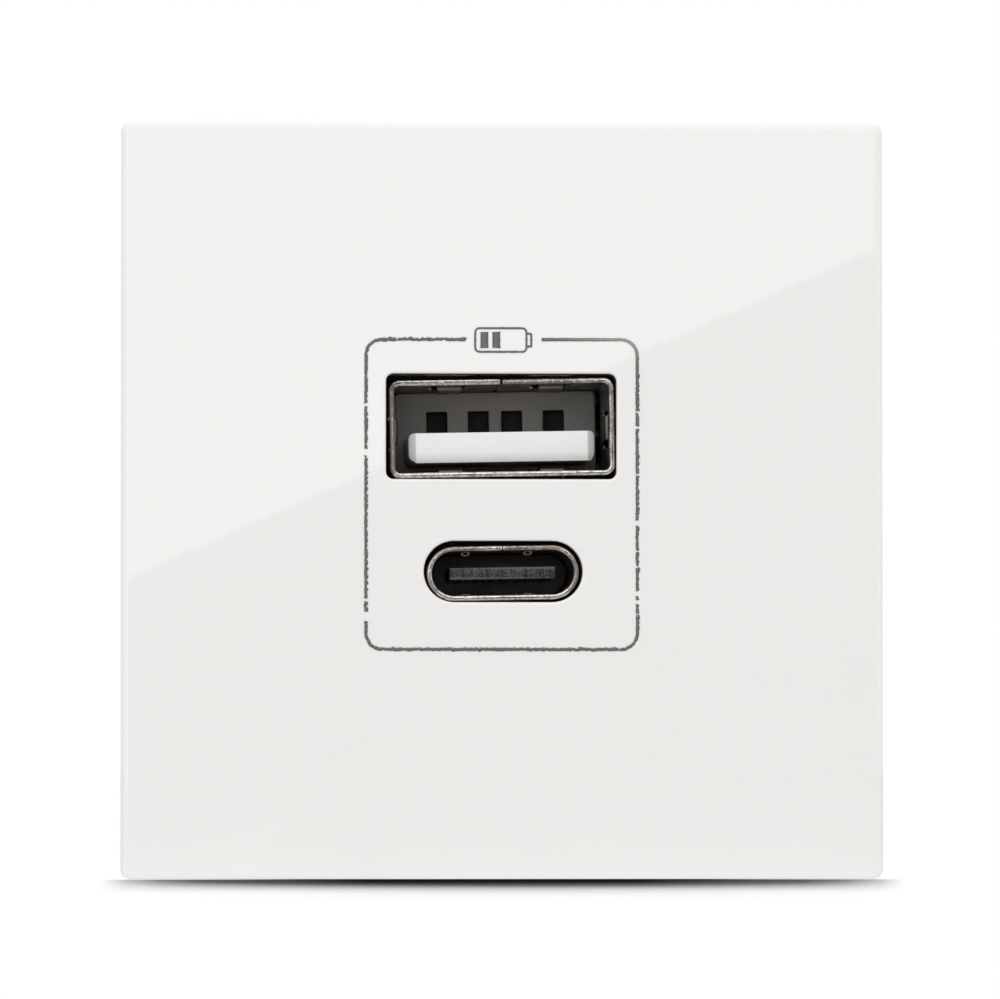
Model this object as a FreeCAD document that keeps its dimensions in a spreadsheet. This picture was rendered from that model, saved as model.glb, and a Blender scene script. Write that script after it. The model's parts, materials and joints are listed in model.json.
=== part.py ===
"""Wall charging socket in the 45 mm modular format, one wide and one slim charging port.

Frame: X to the right, Y into the wall, Z up, millimetres. The front of the cover faces -Y.
The origin is the centre of the cover's rear rim, the plane that seats on the mounting frame.
"""
import FreeCAD, Part
import os
import re
import Sketcher

DOCUMENT = FreeCAD.newDocument("usb_wall_socket")
SHEET = DOCUMENT.addObject("Spreadsheet::Sheet", "sizes")

# %% Driving sizes, in millimetres and degrees
SIZES = [
    # Front cover
    ("cover_width", 44.8),
    ("cover_height", 44.5),
    ("cover_depth", 7.5),
    ("cover_wall", 1.6),
    ("cover_face", 1.8),
    ("cover_corner", 0.6),
    ("cover_edge", 0.45),
    ("rim_round", 0.15),
    ("wide_cut_gap_x", 0.175),
    ("wide_cut_gap_z", 0.24),
    ("wide_cut_x", -0.08),
    ("wide_cut_z", 4.33),
    ("wide_cut_corner", 0.45),
    ("slim_cut_gap", 0.2),
    ("slim_cut_x", 0.03),
    ("slim_cut_z", -4.2),
    # Clips between the cover and the lid
    ("clip_length", 8.0),
    ("clip_front", 3.3),
    ("clip_run", 1.2),
    ("clip_crest", 0.96),
    ("clip_rise", 0.5),
    ("clip_gap", 0.1),
    # Print on the cover
    ("ink_thickness", 0.03),
    ("border_line", 0.19),
    ("border_margin", 1.375),
    ("border_centre_x", -0.06),
    ("border_top", 9.43),
    ("border_bottom", -8.77),
    ("border_corner", 1.0),
    ("symbol_gap_left", -2.19),
    ("symbol_gap_right", 2.29),
    ("symbol_line", 0.11),
    ("symbol_left", -1.62),
    ("symbol_right", 1.4),
    ("symbol_bottom", 8.7),
    ("symbol_top", 10.1),
    ("symbol_corner", 0.25),
    ("symbol_nub", 0.28),
    ("symbol_nub_inset", 0.32),
    ("bar_width", 0.46),
    ("bar_step", 0.7),
    ("bar_start", 0.31),
    ("bar_inset", 0.225),
    # Lid of the mechanism
    ("lid_gap", 0.2),
    ("lid_plate", 1.6),
    ("lid_wall", 1.2),
    ("lid_rim", 1.5),
    ("lid_corner", 1.0),
    ("lid_boss_radius", 2.6),
    ("lid_opening_gap", 0.35),
    # Rear housing
    ("housing_inset", 0.4),
    ("housing_back", 31.0),
    ("housing_wall", 1.5),
    ("boss_inset", 3.3),
    ("boss_radius", 2.4),
    ("housing_screw_radius", 1.1),
    ("housing_screw_tip", 9.0),
    ("housing_head_radius", 2.1),
    ("housing_head_height", 1.6),
    ("housing_head_recess", 2.4),
    ("screw_gap", 0.2),
    ("drive_width", 0.6),
    ("drive_reach", 0.62),
    ("drive_depth", 0.7),
    ("snap_width", 8.8),
    ("snap_slot", 0.8),
    ("snap_length", 11.5),
    ("snap_front", 2.4),
    ("snap_rise", 1.1),
    ("snap_run", 4.2),
    ("snap_lead", 0.3),
    ("snap_crest", 0.9),
    ("snap_nose_inset", 0.4),
    ("snap_overcut", 0.1),
    # Board that carries the ports
    ("port_turn", 1.0),
    ("port_board_gap", 0.7),
    ("port_board_front", 3.7),
    ("board_thickness", 1.2),
    ("port_screw_x", 14.8),
    ("port_screw_radius", 0.9),
    ("port_screw_tip", 1.2),
    ("port_head_radius", 1.9),
    ("port_head_height", 1.2),
    ("port_boss_radius", 2.2),
    ("port_hole_gap", 0.45),
    ("pin_reach", 0.8),
    # Wide port
    ("shell_recess", 0.2),
    ("sheet_metal", 0.3),
    ("wide_width", 13.2),
    ("wide_height", 5.72),
    ("wide_corner", 0.6),
    ("wide_x", 0.05),
    ("wide_z", 4.24),
    ("wide_back_wall", 1.6),
    ("shell_seam", 0.06),
    ("wide_back_gap", 0.3),
    ("leaf_x", 3.0),
    ("leaf_width", 1.5),
    ("leaf_slot", 0.35),
    ("leaf_tip", 1.6),
    ("leaf_root", 7.2),
    ("leaf_bend", 0.42),
    ("leaf_crown", 0.9),
    ("leaf_lift", 0.55),
    ("leaf_overlap", 0.2),
    ("side_leaf_bend", 0.26),
    ("tongue_side", 1.05),
    ("tongue_height", 1.75),
    ("tongue_offset", 1.09),
    ("tongue_recess", 0.6),
    ("tongue_chamfer", 0.25),
    ("tongue_nose", 0.5),
    ("plastic_gap", 0.05),
    ("contact_inner_x", 1.0),
    ("contact_outer_x", 3.5),
    ("contact_width", 1.0),
    ("contact_thickness", 0.25),
    ("contact_recess", 1.4),
    ("contact_pin_width", 0.6),
    ("contact_slot_width", 1.25),
    ("contact_slot_height", 1.6),
    ("pin_hole_radius", 0.5),
    # Slim port
    ("slim_width", 8.94),
    ("slim_height", 3.2),
    ("slim_x", -0.05),
    ("slim_z", -4.28),
    ("slim_back_wall", -0.4),
    ("nib_x", 1.84),
    ("nib_radius", 0.27),
    ("nib_drop", 0.19),
    ("nib_bore", 0.13),
    ("nib_length", 0.7),
    ("nib_recess", 1.6),
    ("slim_tongue_width", 6.2),
    ("slim_tongue_height", 0.7),
    ("slim_tongue_recess", 0.7),
    ("mid_plate_thickness", 0.14),
    ("mid_plate_width", 5.6),
    ("slim_contact_pitch", 0.5),
    ("slim_contact_width", 0.25),
    ("slim_contact_thickness", 0.08),
    ("slim_contact_recess", 0.9),
    # Shell legs, for both ports
    ("leg_width", 1.2),
    ("slim_leg_width", 0.6),
    ("slim_leg_offset", 0.6),
    ("leg_offset", 1.0),
    ("leg_hole_gap", 0.2),
    # Parts on the port board
    ("control_chip_x", -11.8),
    ("control_chip_z", 8.6),
    ("filter_can_x", 11.6),
    ("filter_can_z", 8.6),
    ("filter_can_radius", 2.5),
    ("filter_can_height", 5.4),
    ("filter_foot_margin", 0.15),
    ("filter_foot_height", 1.0),
    # Link between the boards
    ("link_pin", 0.64),
    ("link_pitch", 2.54),
    ("link_x", 12.0),
    ("link_z", -12.0),
    ("link_strip_height", 2.5),
    ("link_hole_radius", 0.9),
    # Power board
    ("power_board_gap", 0.4),
    ("power_board_front", 17.5),
    ("power_board_thickness", 1.6),
    ("notch_gap", 0.3),
    ("post_inset", 2.3),
    ("post_z", 5.5),
    ("post_width", 4.2),
    ("power_screw_radius", 1.0),
    ("power_screw_tip", 25.0),
    ("power_head_radius", 1.8),
    ("power_head_height", 1.3),
    ("lead_radius", 0.3),
    ("lead_gap", 0.1),
    # Chips with two rows of legs
    ("chip_length", 4.9),
    ("chip_width", 3.9),
    ("chip_height", 1.5),
    ("chip_stand", 0.15),
    ("chip_leg_pitch", 1.27),
    ("chip_leg_width", 0.4),
    ("chip_leg_reach", 1.0),
    ("chip_leg_height", 0.7),
    ("power_chip_x", 0.0),
    ("power_chip_z", -8.0),
    ("rectifier_chip_x", 12.1),
    ("rectifier_chip_z", -7.6),
    ("bridge_x", -9.4),
    ("bridge_z", -6.0),
    ("bridge_size", 5.2),
    ("bridge_height", 2.2),
    ("bridge_leg_x", 1.5),
    ("bridge_foot_width", 1.0),
    ("bridge_foot_reach", 0.9),
    ("bridge_foot_height", 0.25),
    ("coupler_x", 7.0),
    ("coupler_z", -5.4),
    ("coupler_width", 4.6),
    ("coupler_length", 6.4),
    ("coupler_height", 3.4),
    ("coupler_leg_x", 1.27),
    ("coupler_leg_z", 3.8),
    ("coupler_stand", 0.5),
    ("coupler_shoulder", 1.0),
    ("coupler_leg_rise", 2.0),
    ("coupler_leg_width", 0.4),
    ("coupler_leg_sheet", 0.3),
    # Upright cans
    ("mains_can_x", -13.4),
    ("mains_can_low_z", 1.9),
    ("mains_can_high_z", 10.2),
    ("mains_can_radius", 4.0),
    ("mains_can_height", 10.5),
    ("output_can_x", 13.4),
    ("output_can_z", 9.6),
    ("choke_x", 13.4),
    ("choke_z", 0.9),
    ("choke_radius", 3.6),
    ("choke_height", 8.0),
    ("choke_waist", 0.8),
    ("choke_flange", 1.2),
    ("can_lead_x", 1.75),
    ("can_groove", 0.35),
    ("can_groove_front", 2.2),
    ("can_groove_back", 1.5),
    # Disc capacitor and fuse resistor
    ("safety_x", 0.6),
    ("safety_z", 15.6),
    ("safety_radius", 3.6),
    ("safety_thickness", 3.0),
    ("safety_stand", 0.8),
    ("safety_lead_x", 2.5),
    ("fuse_x", -12.2),
    ("fuse_z", -12.0),
    ("fuse_radius", 1.6),
    ("fuse_length", 6.2),
    ("fuse_stand", 0.5),
    ("fuse_lead_x", 4.0),
    ("fuse_wire_radius", 0.27),
    # Transformer
    ("core_x", 0.6),
    ("core_z", 5.6),
    ("core_y", 11.5),
    ("core_length", 13.0),
    ("core_height", 13.2),
    ("core_thickness", 6.0),
    ("core_back", 2.0),
    ("core_leg", 1.9),
    ("core_middle", 3.2),
    ("bobbin_gap", 0.1),
    ("bobbin_wall", 0.6),
    ("bobbin_length", 8.8),
    ("bobbin_flange", 0.7),
    ("bobbin_flange_height", 9.2),
    ("bobbin_front", 5.6),
    ("winding_height", 7.8),
    ("winding_depth", 10.6),
    ("tape_thickness", 0.2),
    ("coil_pin_radius", 0.3),
    ("coil_pin_step", 2.4),
    ("coil_pin_depth", 2.0),
    # Terminal block and its rising clamps
    ("block_width", 14.4),
    ("block_height", 8.4),
    ("block_gap", 0.35),
    ("block_back_gap", 0.3),
    ("terminal_x", 3.6),
    ("cage_width", 5.0),
    ("cage_depth", 4.4),
    ("cage_length", 5.0),
    ("cage_side", 0.8),
    ("cage_front", 0.8),
    ("cage_back", 1.0),
    ("cage_start", 19.35),
    ("cage_gap", 0.1),
    ("cage_screw_gap", 0.05),
    ("clamp_screw_radius", 1.5),
    ("clamp_screw_tip", 23.4),
    ("clamp_head_radius", 2.2),
    ("clamp_head_start", 27.3),
    ("clamp_head_height", 1.6),
    ("clamp_web", 0.8),
    ("web_gap", 0.08),
    ("clamp_head_gap", 0.2),
    ("clamp_slot", 0.8),
    ("tab_front", 22.45),
    ("tab_thickness", 0.8),
    ("tab_width", 3.2),
    ("tab_foot", 2.1),
    ("tab_pin_width", 1.2),
    ("wire_y", 21.3),
    ("wire_hole_radius", 1.5),
    ("wire_entry_radius", 2.0),
    ("driver_hole_radius", 2.4),
]

# %% Sizes worked out from the driving ones
WORKED_OUT = {
    "housing_width": "(cover_width - 2 * (cover_wall + lid_gap + housing_inset))",
    "housing_height": "(cover_height - 2 * (cover_wall + lid_gap + housing_inset))",
    "boss_x": "(housing_width / 2 - boss_inset)",
    "boss_z": "(housing_height / 2 - boss_inset)",
    "port_board_width": "(housing_width - 2 * (housing_wall + port_board_gap))",
    "port_board_height": "(housing_height - 2 * (housing_wall + port_board_gap))",
    "power_board_width": "(housing_width - 2 * (housing_wall + power_board_gap))",
    "power_board_height": "(housing_height - 2 * (housing_wall + power_board_gap))",
    "post_x": "(housing_width / 2 - housing_wall - post_inset)",
    "wide_cut_width": "(wide_width + 2 * wide_cut_gap_x)",
    "wide_cut_height": "(wide_height + 2 * wide_cut_gap_z)",
    "slim_cut_width": "(slim_width + 2 * slim_cut_gap)",
    "slim_cut_height": "(slim_height + 2 * slim_cut_gap)",
    "border_half_width": "(wide_width / 2 + border_margin)",
    "filter_foot_size": "(2 * (filter_can_radius + filter_foot_margin))",
    "tongue_width": "(wide_width - 2 * tongue_side)",
    "block_bottom": "(-housing_height / 2 + housing_wall + block_gap)",
    "block_top": "(block_bottom + block_height)",
    "terminal_z": "(block_bottom + block_height / 2)",
}

NAMES = {name for name, amount in SIZES}
PIECES = []

for row, (name, amount) in enumerate(SIZES, start=1):
    SHEET.set(f"A{row}", name.replace("_", " "))
    SHEET.set(f"B{row}", str(amount))
    SHEET.setAlias(f"B{row}", name)
DOCUMENT.recompute()


# %% Sizes in other words, used by several pieces
LID_FRONT = "-(cover_depth - cover_face)"
LID_WIDTH = "(cover_width - 2 * cover_wall - 2 * lid_gap)"
LID_HEIGHT = "(cover_height - 2 * cover_wall - 2 * lid_gap)"
SHELL_FRONT = "-(cover_depth - shell_recess)"
PORT_BOARD_BACK = "(port_board_front + board_thickness)"
POWER_BOARD_BACK = "(power_board_front + power_board_thickness)"
HOUSING_FLOOR = "(housing_back - housing_wall)"
BLOCK_BACK = "(housing_back - housing_wall - block_back_gap)"
TONGUE_Z = "(wide_z - tongue_offset)"
TONGUE_TOP = "(wide_z - tongue_offset + tongue_height / 2)"
SIDES = (-1, 1)


# %% Binding an expression to the sheet
def on_sheet(expression):
    """The expression with each size's name pointed at its cell."""

    def cell(match):
        word = match.group(0)
        if word in WORKED_OUT:
            return on_sheet(WORKED_OUT[word])
        if word not in NAMES:
            raise ValueError(f"no size is called {word}")
        return f"sizes.{word}"

    return re.sub(r"[a-z][a-z_]*[a-z]", cell, str(expression))


def bind(thing, place, expression):
    """Ties one property of an object to an expression of the sheet's sizes."""
    thing.setExpression(place, on_sheet(expression))


def keep(piece, name):
    """Names a finished piece and puts it on the list of pieces that are written."""
    piece.Label = name
    PIECES.append(piece)
    return piece


def turn_with_board(piece):
    """Turns a piece with the port board, about the axis through the middle of the cover."""
    piece.Placement = FreeCAD.Placement(FreeCAD.Vector(), FreeCAD.Rotation(FreeCAD.Vector(0, -1, 0), 1))
    bind(piece, "Placement.Rotation.Angle", "port_turn")
    return piece


def middle(width, height, across="0", up="0"):
    """A rectangle about a centre, as its left, right, low and high edges."""
    return (
        f"{across} - ({width}) / 2",
        f"{across} + ({width}) / 2",
        f"{up} - ({height}) / 2",
        f"{up} + ({height}) / 2",
    )


def times(sign, expression):
    """An expression with a sign put before it."""
    return f"{sign} * ({expression})"


# %% Sketched bodies
PLANES = {"x": ("YZ_Plane", 1), "y": ("XZ_Plane", -1), "z": ("XY_Plane", 1)}


def add_point_sizes(sketch, edge, across, up):
    """Fixes the start of an edge at its distance from the sketch's origin."""
    for kind, expression in (("DistanceX", across), ("DistanceY", up)):
        index = sketch.addConstraint(Sketcher.Constraint(kind, -1, 1, edge, 1, 0.0))
        bind(sketch, f"Constraints[{index}]", expression)


def add_circle(sketch, across, up, radius):
    """One circle, from its centre and radius."""
    centre = FreeCAD.Vector(0.0, 0.0, 0.0)
    edge = sketch.addGeometry(Part.Circle(centre, FreeCAD.Vector(0, 0, 1), 1.0), False)
    for kind, expression in (("DistanceX", across), ("DistanceY", up)):
        index = sketch.addConstraint(Sketcher.Constraint(kind, -1, 1, edge, 3, 0.0))
        bind(sketch, f"Constraints[{index}]", expression)
    index = sketch.addConstraint(Sketcher.Constraint("Radius", edge, 1.0))
    bind(sketch, f"Constraints[{index}]", radius)


def add_outline(sketch, points):
    """A closed outline of straight edges through the points."""
    count = len(points)
    start = [FreeCAD.Rotation(FreeCAD.Vector(0, 0, 1), 360 * k / count).multVec(FreeCAD.Vector(1, 0, 0))
             for k in range(count)]
    edges = [sketch.addGeometry(Part.LineSegment(start[k], start[(k + 1) % count]), False)
             for k in range(count)]
    for k, edge in enumerate(edges):
        sketch.addConstraint(Sketcher.Constraint("Coincident", edge, 2, edges[(k + 1) % count], 1))
    for edge, (across, up) in zip(edges, points):
        add_point_sizes(sketch, edge, across, up)


def draw(body, plane, distance, shapes):
    """A sketch on one of the body's own planes, moved out by a distance along its normal."""
    sketch = body.newObject("Sketcher::SketchObject", f"{body.Name}_sketch")
    origin_plane = [part for part in body.Origin.OriginFeatures if part.Role == plane][0]
    sketch.AttachmentSupport = [(origin_plane, "")]
    sketch.MapMode = "FlatFace"
    bind(sketch, "AttachmentOffset.Base.z", distance)
    for shape in shapes:
        if isinstance(shape, list):
            add_outline(sketch, shape)
        elif len(shape) == 3:
            add_circle(sketch, *shape)
        else:
            left, right, low, high = shape
            add_outline(sketch, [(left, low), (right, low), (right, high), (left, high)])
    return sketch


def add(body, axis, low, high, *shapes):
    """Adds material between two places on an axis."""
    plane, sign = PLANES[axis]
    start = low if sign > 0 else high
    pad = body.newObject("PartDesign::Pad", f"{body.Name}_pad")
    pad.Profile = draw(body, plane, times(sign, start), shapes)
    bind(pad, "Length", f"({high}) - ({low})")
    return pad


def cut(body, axis, low, high, *shapes):
    """Takes material away between two places on an axis."""
    plane, sign = PLANES[axis]
    start = high if sign > 0 else low
    pocket = body.newObject("PartDesign::Pocket", f"{body.Name}_pocket")
    pocket.Profile = draw(body, plane, times(sign, start), shapes)
    bind(pocket, "Length", f"({high}) - ({low})")
    return pocket


def slot_shapes(width, height, across, up):
    """The middle and the two round ends of a slot with full rounds."""
    shift = f"(({width}) - ({height})) / 2"
    straight = middle(f"({width}) - ({height})", height, across, up)
    ends = [(f"{across} {sign} {shift}", up, f"({height}) / 2") for sign in ("-", "+")]
    return straight, ends


def add_slot(body, low, high, width, height, across, up):
    """Adds a bar of slot section along Y."""
    straight, ends = slot_shapes(width, height, across, up)
    add(body, "y", low, high, straight)
    add(body, "y", low, high, *ends)


def cut_slot(body, low, high, width, height, across, up):
    """Cuts a slot along Y."""
    straight, ends = slot_shapes(width, height, across, up)
    cut(body, "y", low, high, straight)
    cut(body, "y", low, high, *ends)


def round_edges(body, radius, wanted):
    """Rounds the edges of the body's last feature that the test picks out."""
    DOCUMENT.recompute()
    base = body.Tip
    names = [f"Edge{k}" for k, edge in enumerate(base.Shape.Edges, start=1) if wanted(edge)]
    fillet = body.newObject("PartDesign::Fillet", f"{body.Name}_fillet")
    fillet.Base = (base, names)
    bind(fillet, "Radius", radius)
    return fillet


def runs_along_y(edge):
    """True for a straight edge that runs from front to back."""
    box = edge.BoundBox
    return box.XLength < 1e-6 and box.ZLength < 1e-6 and box.YLength > 0.01


def new_body(name):
    """An empty body for one piece."""
    return keep(DOCUMENT.addObject("PartDesign::Body", name), name)


# %% Plain solids
AXES = {
    "x": FreeCAD.Vector(1, 0, 0),
    "y": FreeCAD.Vector(0, 1, 0),
    "z": FreeCAD.Vector(0, 0, 1),
}


def box(name, across, along, up):
    """A box between pairs of places on X, Y and Z."""
    solid = DOCUMENT.addObject("Part::Box", name)
    for side, axis, (low, high) in zip(("Length", "Width", "Height"), "xyz", (across, along, up)):
        bind(solid, side, f"({high}) - ({low})")
        bind(solid, f"Placement.Base.{axis}", low)
    return solid


def rod(name, axis, radius, ends, first, second):
    """A cylinder along an axis between its ends, at its places on the other two axes."""
    solid = DOCUMENT.addObject("Part::Cylinder", name)
    solid.Placement = FreeCAD.Placement(FreeCAD.Vector(), FreeCAD.Rotation(AXES["z"], AXES[axis]))
    low, high = ends
    bind(solid, "Radius", radius)
    bind(solid, "Height", f"({high}) - ({low})")
    places = dict(zip([other for other in "xyz" if other != axis], (first, second)))
    places[axis] = low
    for where, expression in places.items():
        bind(solid, f"Placement.Base.{where}", expression)
    return solid


def fused(name, solids):
    """Several solids that touch, made one."""
    whole = DOCUMENT.addObject("Part::MultiFuse", name)
    whole.Shapes = solids
    whole.Refine = True
    return whole


def carved(name, base, tool):
    """One solid with another taken out of it."""
    rest = DOCUMENT.addObject("Part::Cut", name)
    rest.Base = base
    rest.Tool = tool
    rest.Refine = True
    return rest


def group(name, solids):
    """Like pieces that stay separate solids under one name."""
    together = DOCUMENT.addObject("Part::Compound", name)
    together.Links = solids
    return together


def rounded(name, solid, radius):
    """A box with its four edges along Y rounded."""
    DOCUMENT.recompute()
    size = DOCUMENT.addObject("Part::Fillet", name)
    size.Base = solid
    amount = SHEET.get(radius)
    size.Edges = [(k, amount, amount) for k, edge in enumerate(solid.Shape.Edges, start=1)
                  if runs_along_y(edge)]
    return size


def screw(name, x, z, shank, head):
    """A screw along Y: shank and head each a radius and a pair of ends, with a crossed drive."""
    shank_radius, shank_ends = shank
    head_radius, head_ends, drive_ends = head
    whole = fused(f"{name}_blank", [
        rod(f"{name}_shank", "y", shank_radius, shank_ends, x, z),
        rod(f"{name}_head", "y", head_radius, head_ends, x, z),
    ])
    arm = f"({head_radius}) * drive_reach"
    level = box(f"{name}_drive_level", (f"{x} - {arm}", f"{x} + {arm}"), drive_ends,
                (f"{z} - drive_width / 2", f"{z} + drive_width / 2"))
    upright = box(f"{name}_drive_upright", (f"{x} - drive_width / 2", f"{x} + drive_width / 2"),
                  drive_ends, (f"{z} - {arm}", f"{z} + {arm}"))
    return carved(name, whole, fused(f"{name}_drive", [level, upright]))


# %% Front cover
def front_cover():
    """The white cover: a plain face with two port openings and a wall that clips on the lid."""
    body = new_body("front_cover")
    add(body, "y", "-cover_depth", "0", middle("cover_width", "cover_height"))
    round_edges(body, "cover_corner", runs_along_y)
    front = -SHEET.get("cover_depth")

    def on_front(edge):
        return edge.BoundBox.YLength < 1e-6 and abs(edge.BoundBox.YMin - front) < 1e-6

    round_edges(body, "cover_edge", on_front)
    inner_half_width = "(cover_width / 2 - cover_wall)"
    inner_half_height = "(cover_height / 2 - cover_wall)"
    cut(body, "y", LID_FRONT, "0", middle(f"2 * {inner_half_width}", f"2 * {inner_half_height}"))
    cut(body, "y", "-cover_depth", LID_FRONT,
               middle("wide_cut_width", "wide_cut_height", "wide_cut_x", "wide_cut_z"))
    round_edges(body, "wide_cut_corner",
                lambda edge: runs_along_y(edge) and abs(edge.BoundBox.XMin) < wide_reach())
    cut_slot(body, "-cover_depth", LID_FRONT, "slim_cut_width", "slim_cut_height",
             "slim_cut_x", "slim_cut_z")
    round_edges(body, "rim_round", lambda edge: on_front(edge) and inside_ports(edge))
    clip_y = ("-(clip_front + clip_gap)", "-(clip_front - clip_run - clip_gap)")
    clip_half = "(clip_length / 2 + clip_gap)"
    for sign in SIDES:
        low, high = sorted_ends(sign, inner_half_width, f"{inner_half_width} + lid_gap + clip_rise")
        cut(body, "x", low, high, (*clip_y, f"-{clip_half}", clip_half))
        low, high = sorted_ends(sign, inner_half_height, f"{inner_half_height} + lid_gap + clip_rise")
        cut(body, "z", low, high, (f"-{clip_half}", clip_half, *clip_y))


def wide_reach():
    """Half of the print border's width, which holds both port openings."""
    return SHEET.get("wide_width") / 2 + SHEET.get("border_margin")


def inside_ports(edge):
    """True for an edge that lies wholly within the printed border."""
    limit = wide_reach()
    bounds = edge.BoundBox
    return max(abs(bounds.XMin), abs(bounds.XMax), abs(bounds.ZMin), abs(bounds.ZMax)) < limit


def sorted_ends(sign, near, far):
    """A low and a high place on one side of the middle, from the near and the far distance."""
    if sign > 0:
        return near, far
    return times(-1, far), times(-1, near)


# %% Print on the cover
def ring(name, left, right, low, high, line, corner):
    """A frame of one line's width about a centre line, with round corners."""
    depth = ("-(cover_depth + ink_thickness)", "-cover_depth")
    outer = box(f"{name}_outer", (f"{left} - {line} / 2", f"{right} + {line} / 2"), depth,
                (f"{low} - {line} / 2", f"{high} + {line} / 2"))
    inner = box(f"{name}_inner", (f"{left} + {line} / 2", f"{right} - {line} / 2"), depth,
                (f"{low} + {line} / 2", f"{high} - {line} / 2"))
    return carved(name, rounded(f"{name}_outer_round", outer, corner),
                  rounded(f"{name}_inner_round", inner, corner))


def ink_box(name, across, up):
    """A flat field of ink on the cover's face."""
    return box(name, across, ("-(cover_depth + ink_thickness)", "-cover_depth"), up)


def printed_border():
    """The thin border round both ports, open at the symbol and worn through in places."""
    left = "border_centre_x - border_half_width"
    right = "border_centre_x + border_half_width"
    frame = ring("border_ring", left, right, "border_bottom", "border_top", "border_line",
                 "border_corner")
    half = "border_line"
    gaps = [ink_box("symbol_gap", ("symbol_gap_left", "symbol_gap_right"),
                    (f"border_top - {half}", f"border_top + {half}"))]
    worn_left = ((3.75, 3.91), (6.48, 6.83), (15.23, 15.38), (16.03, 16.53))
    worn_right = ((5.11, 5.23), (10.63, 10.93), (14.83, 15.03), (15.33, 15.51))
    for side, worn in ((left, worn_left), (right, worn_right)):
        for start, end in worn:
            gaps.append(ink_box("worn_side", (f"{side} - {half}", f"{side} + {half}"),
                                (f"border_top - {end}", f"border_top - {start}")))
    gaps.append(ink_box("worn_top", (f"{left} + 1.76", f"{left} + 1.88"),
                        (f"border_top - {half}", f"border_top + {half}")))
    keep(carved("printed_border", frame, fused("border_gaps", gaps)), "printed_border")


def battery_symbol():
    """The small battery sign in the border's gap: an outline, its end cap and two bars."""
    outline = ring("symbol_ring", "symbol_left", "symbol_right", "symbol_bottom", "symbol_top",
                   "symbol_line", "symbol_corner")
    cap_start = "symbol_right + symbol_line / 2"
    cap_end = "symbol_right + symbol_nub + symbol_line / 2"
    low = "symbol_bottom + symbol_nub_inset"
    high = "symbol_top - symbol_nub_inset"
    cap = [
        ink_box("cap_end", (f"{cap_end} - symbol_line", cap_end),
                (f"{low} - symbol_line / 2", f"{high} + symbol_line / 2")),
        ink_box("cap_low", (cap_start, f"{cap_end} - symbol_line"),
                (f"{low} - symbol_line / 2", f"{low} + symbol_line / 2")),
        ink_box("cap_high", (cap_start, f"{cap_end} - symbol_line"),
                (f"{high} - symbol_line / 2", f"{high} + symbol_line / 2")),
    ]
    bars = []
    for k in range(2):
        start = f"symbol_left + bar_start + {k} * bar_step"
        bars.append(ink_box("charge_bar", (start, f"{start} + bar_width"),
                            ("symbol_bottom + bar_inset", "symbol_top - bar_inset")))
    keep(group("battery_symbol", [fused("symbol_body", [outline, *cap]), *bars]), "battery_symbol")


# %% Lid of the mechanism
def corner_points():
    """The four screw bosses' places, as pairs of expressions."""
    return [(times(right, "boss_x"), times(up, "boss_z")) for right in SIDES for up in SIDES]


def housing_lid():
    """The lid behind the cover: port openings, screw bosses and the clips that hold the cover."""
    body = new_body("housing_lid")
    back_of_plate = f"{LID_FRONT} + lid_plate"
    add(body, "y", LID_FRONT, "lid_rim", middle(LID_WIDTH, LID_HEIGHT))
    round_edges(body, "lid_corner", runs_along_y)
    cut(body, "y", back_of_plate, "lid_rim",
        middle(f"{LID_WIDTH} - 2 * lid_wall", f"{LID_HEIGHT} - 2 * lid_wall"))
    add(body, "y", back_of_plate, "lid_rim",
        *[(x, z, "lid_boss_radius") for x, z in corner_points()])
    port_bosses = [(times(sign, "port_screw_x"), "0") for sign in SIDES]
    add(body, "y", back_of_plate, "port_board_front",
        *[(x, z, "port_boss_radius") for x, z in port_bosses])
    recess_floor = f"{LID_FRONT} + housing_head_recess"
    cut(body, "y", LID_FRONT, recess_floor,
        *[(x, z, "housing_head_radius + screw_gap") for x, z in corner_points()])
    cut(body, "y", recess_floor, "lid_rim",
        *[(x, z, "housing_screw_radius + screw_gap / 2") for x, z in corner_points()])
    cut(body, "y", "-port_screw_tip", "port_board_front",
        *[(x, z, "port_screw_radius") for x, z in port_bosses])
    cut(body, "y", LID_FRONT, back_of_plate,
        middle("wide_width + 2 * lid_opening_gap", "wide_height + 2 * lid_opening_gap", "0", "wide_z"),
        middle("slim_width + 2 * lid_opening_gap", "slim_height + 2 * lid_opening_gap", "0", "slim_z"))
    for sign in SIDES:
        add(body, "z", "-clip_length / 2", "clip_length / 2", clip_profile(sign, LID_WIDTH))
        add(body, "x", "-clip_length / 2", "clip_length / 2",
            [(y, z) for z, y in clip_profile(sign, LID_HEIGHT)])


def clip_profile(sign, size):
    """The wedge of one clip: a ramp from the front and a steep back, against the lid's side."""
    face = f"({size}) / 2"
    return [
        (times(sign, f"{face} - lid_wall / 2"), "-clip_front"),
        (times(sign, face), "-clip_front"),
        (times(sign, f"{face} + clip_rise"), "-(clip_front - clip_crest)"),
        (times(sign, f"{face} + clip_rise"), "-(clip_front - clip_run)"),
        (times(sign, f"{face} - lid_wall / 2"), "-(clip_front - clip_run)"),
    ]


def housing_screws():
    """Four screws under the cover that hold the lid on the rear housing."""
    seat = f"{LID_FRONT} + housing_head_recess"
    head = f"{seat} - housing_head_height"
    screws = [
        screw("housing_screw", x, z, ("housing_screw_radius", (seat, "housing_screw_tip")),
              ("housing_head_radius", (head, seat), (head, f"{head} + drive_depth")))
        for x, z in corner_points()
    ]
    keep(group("housing_screws", screws), "housing_screws")


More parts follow.
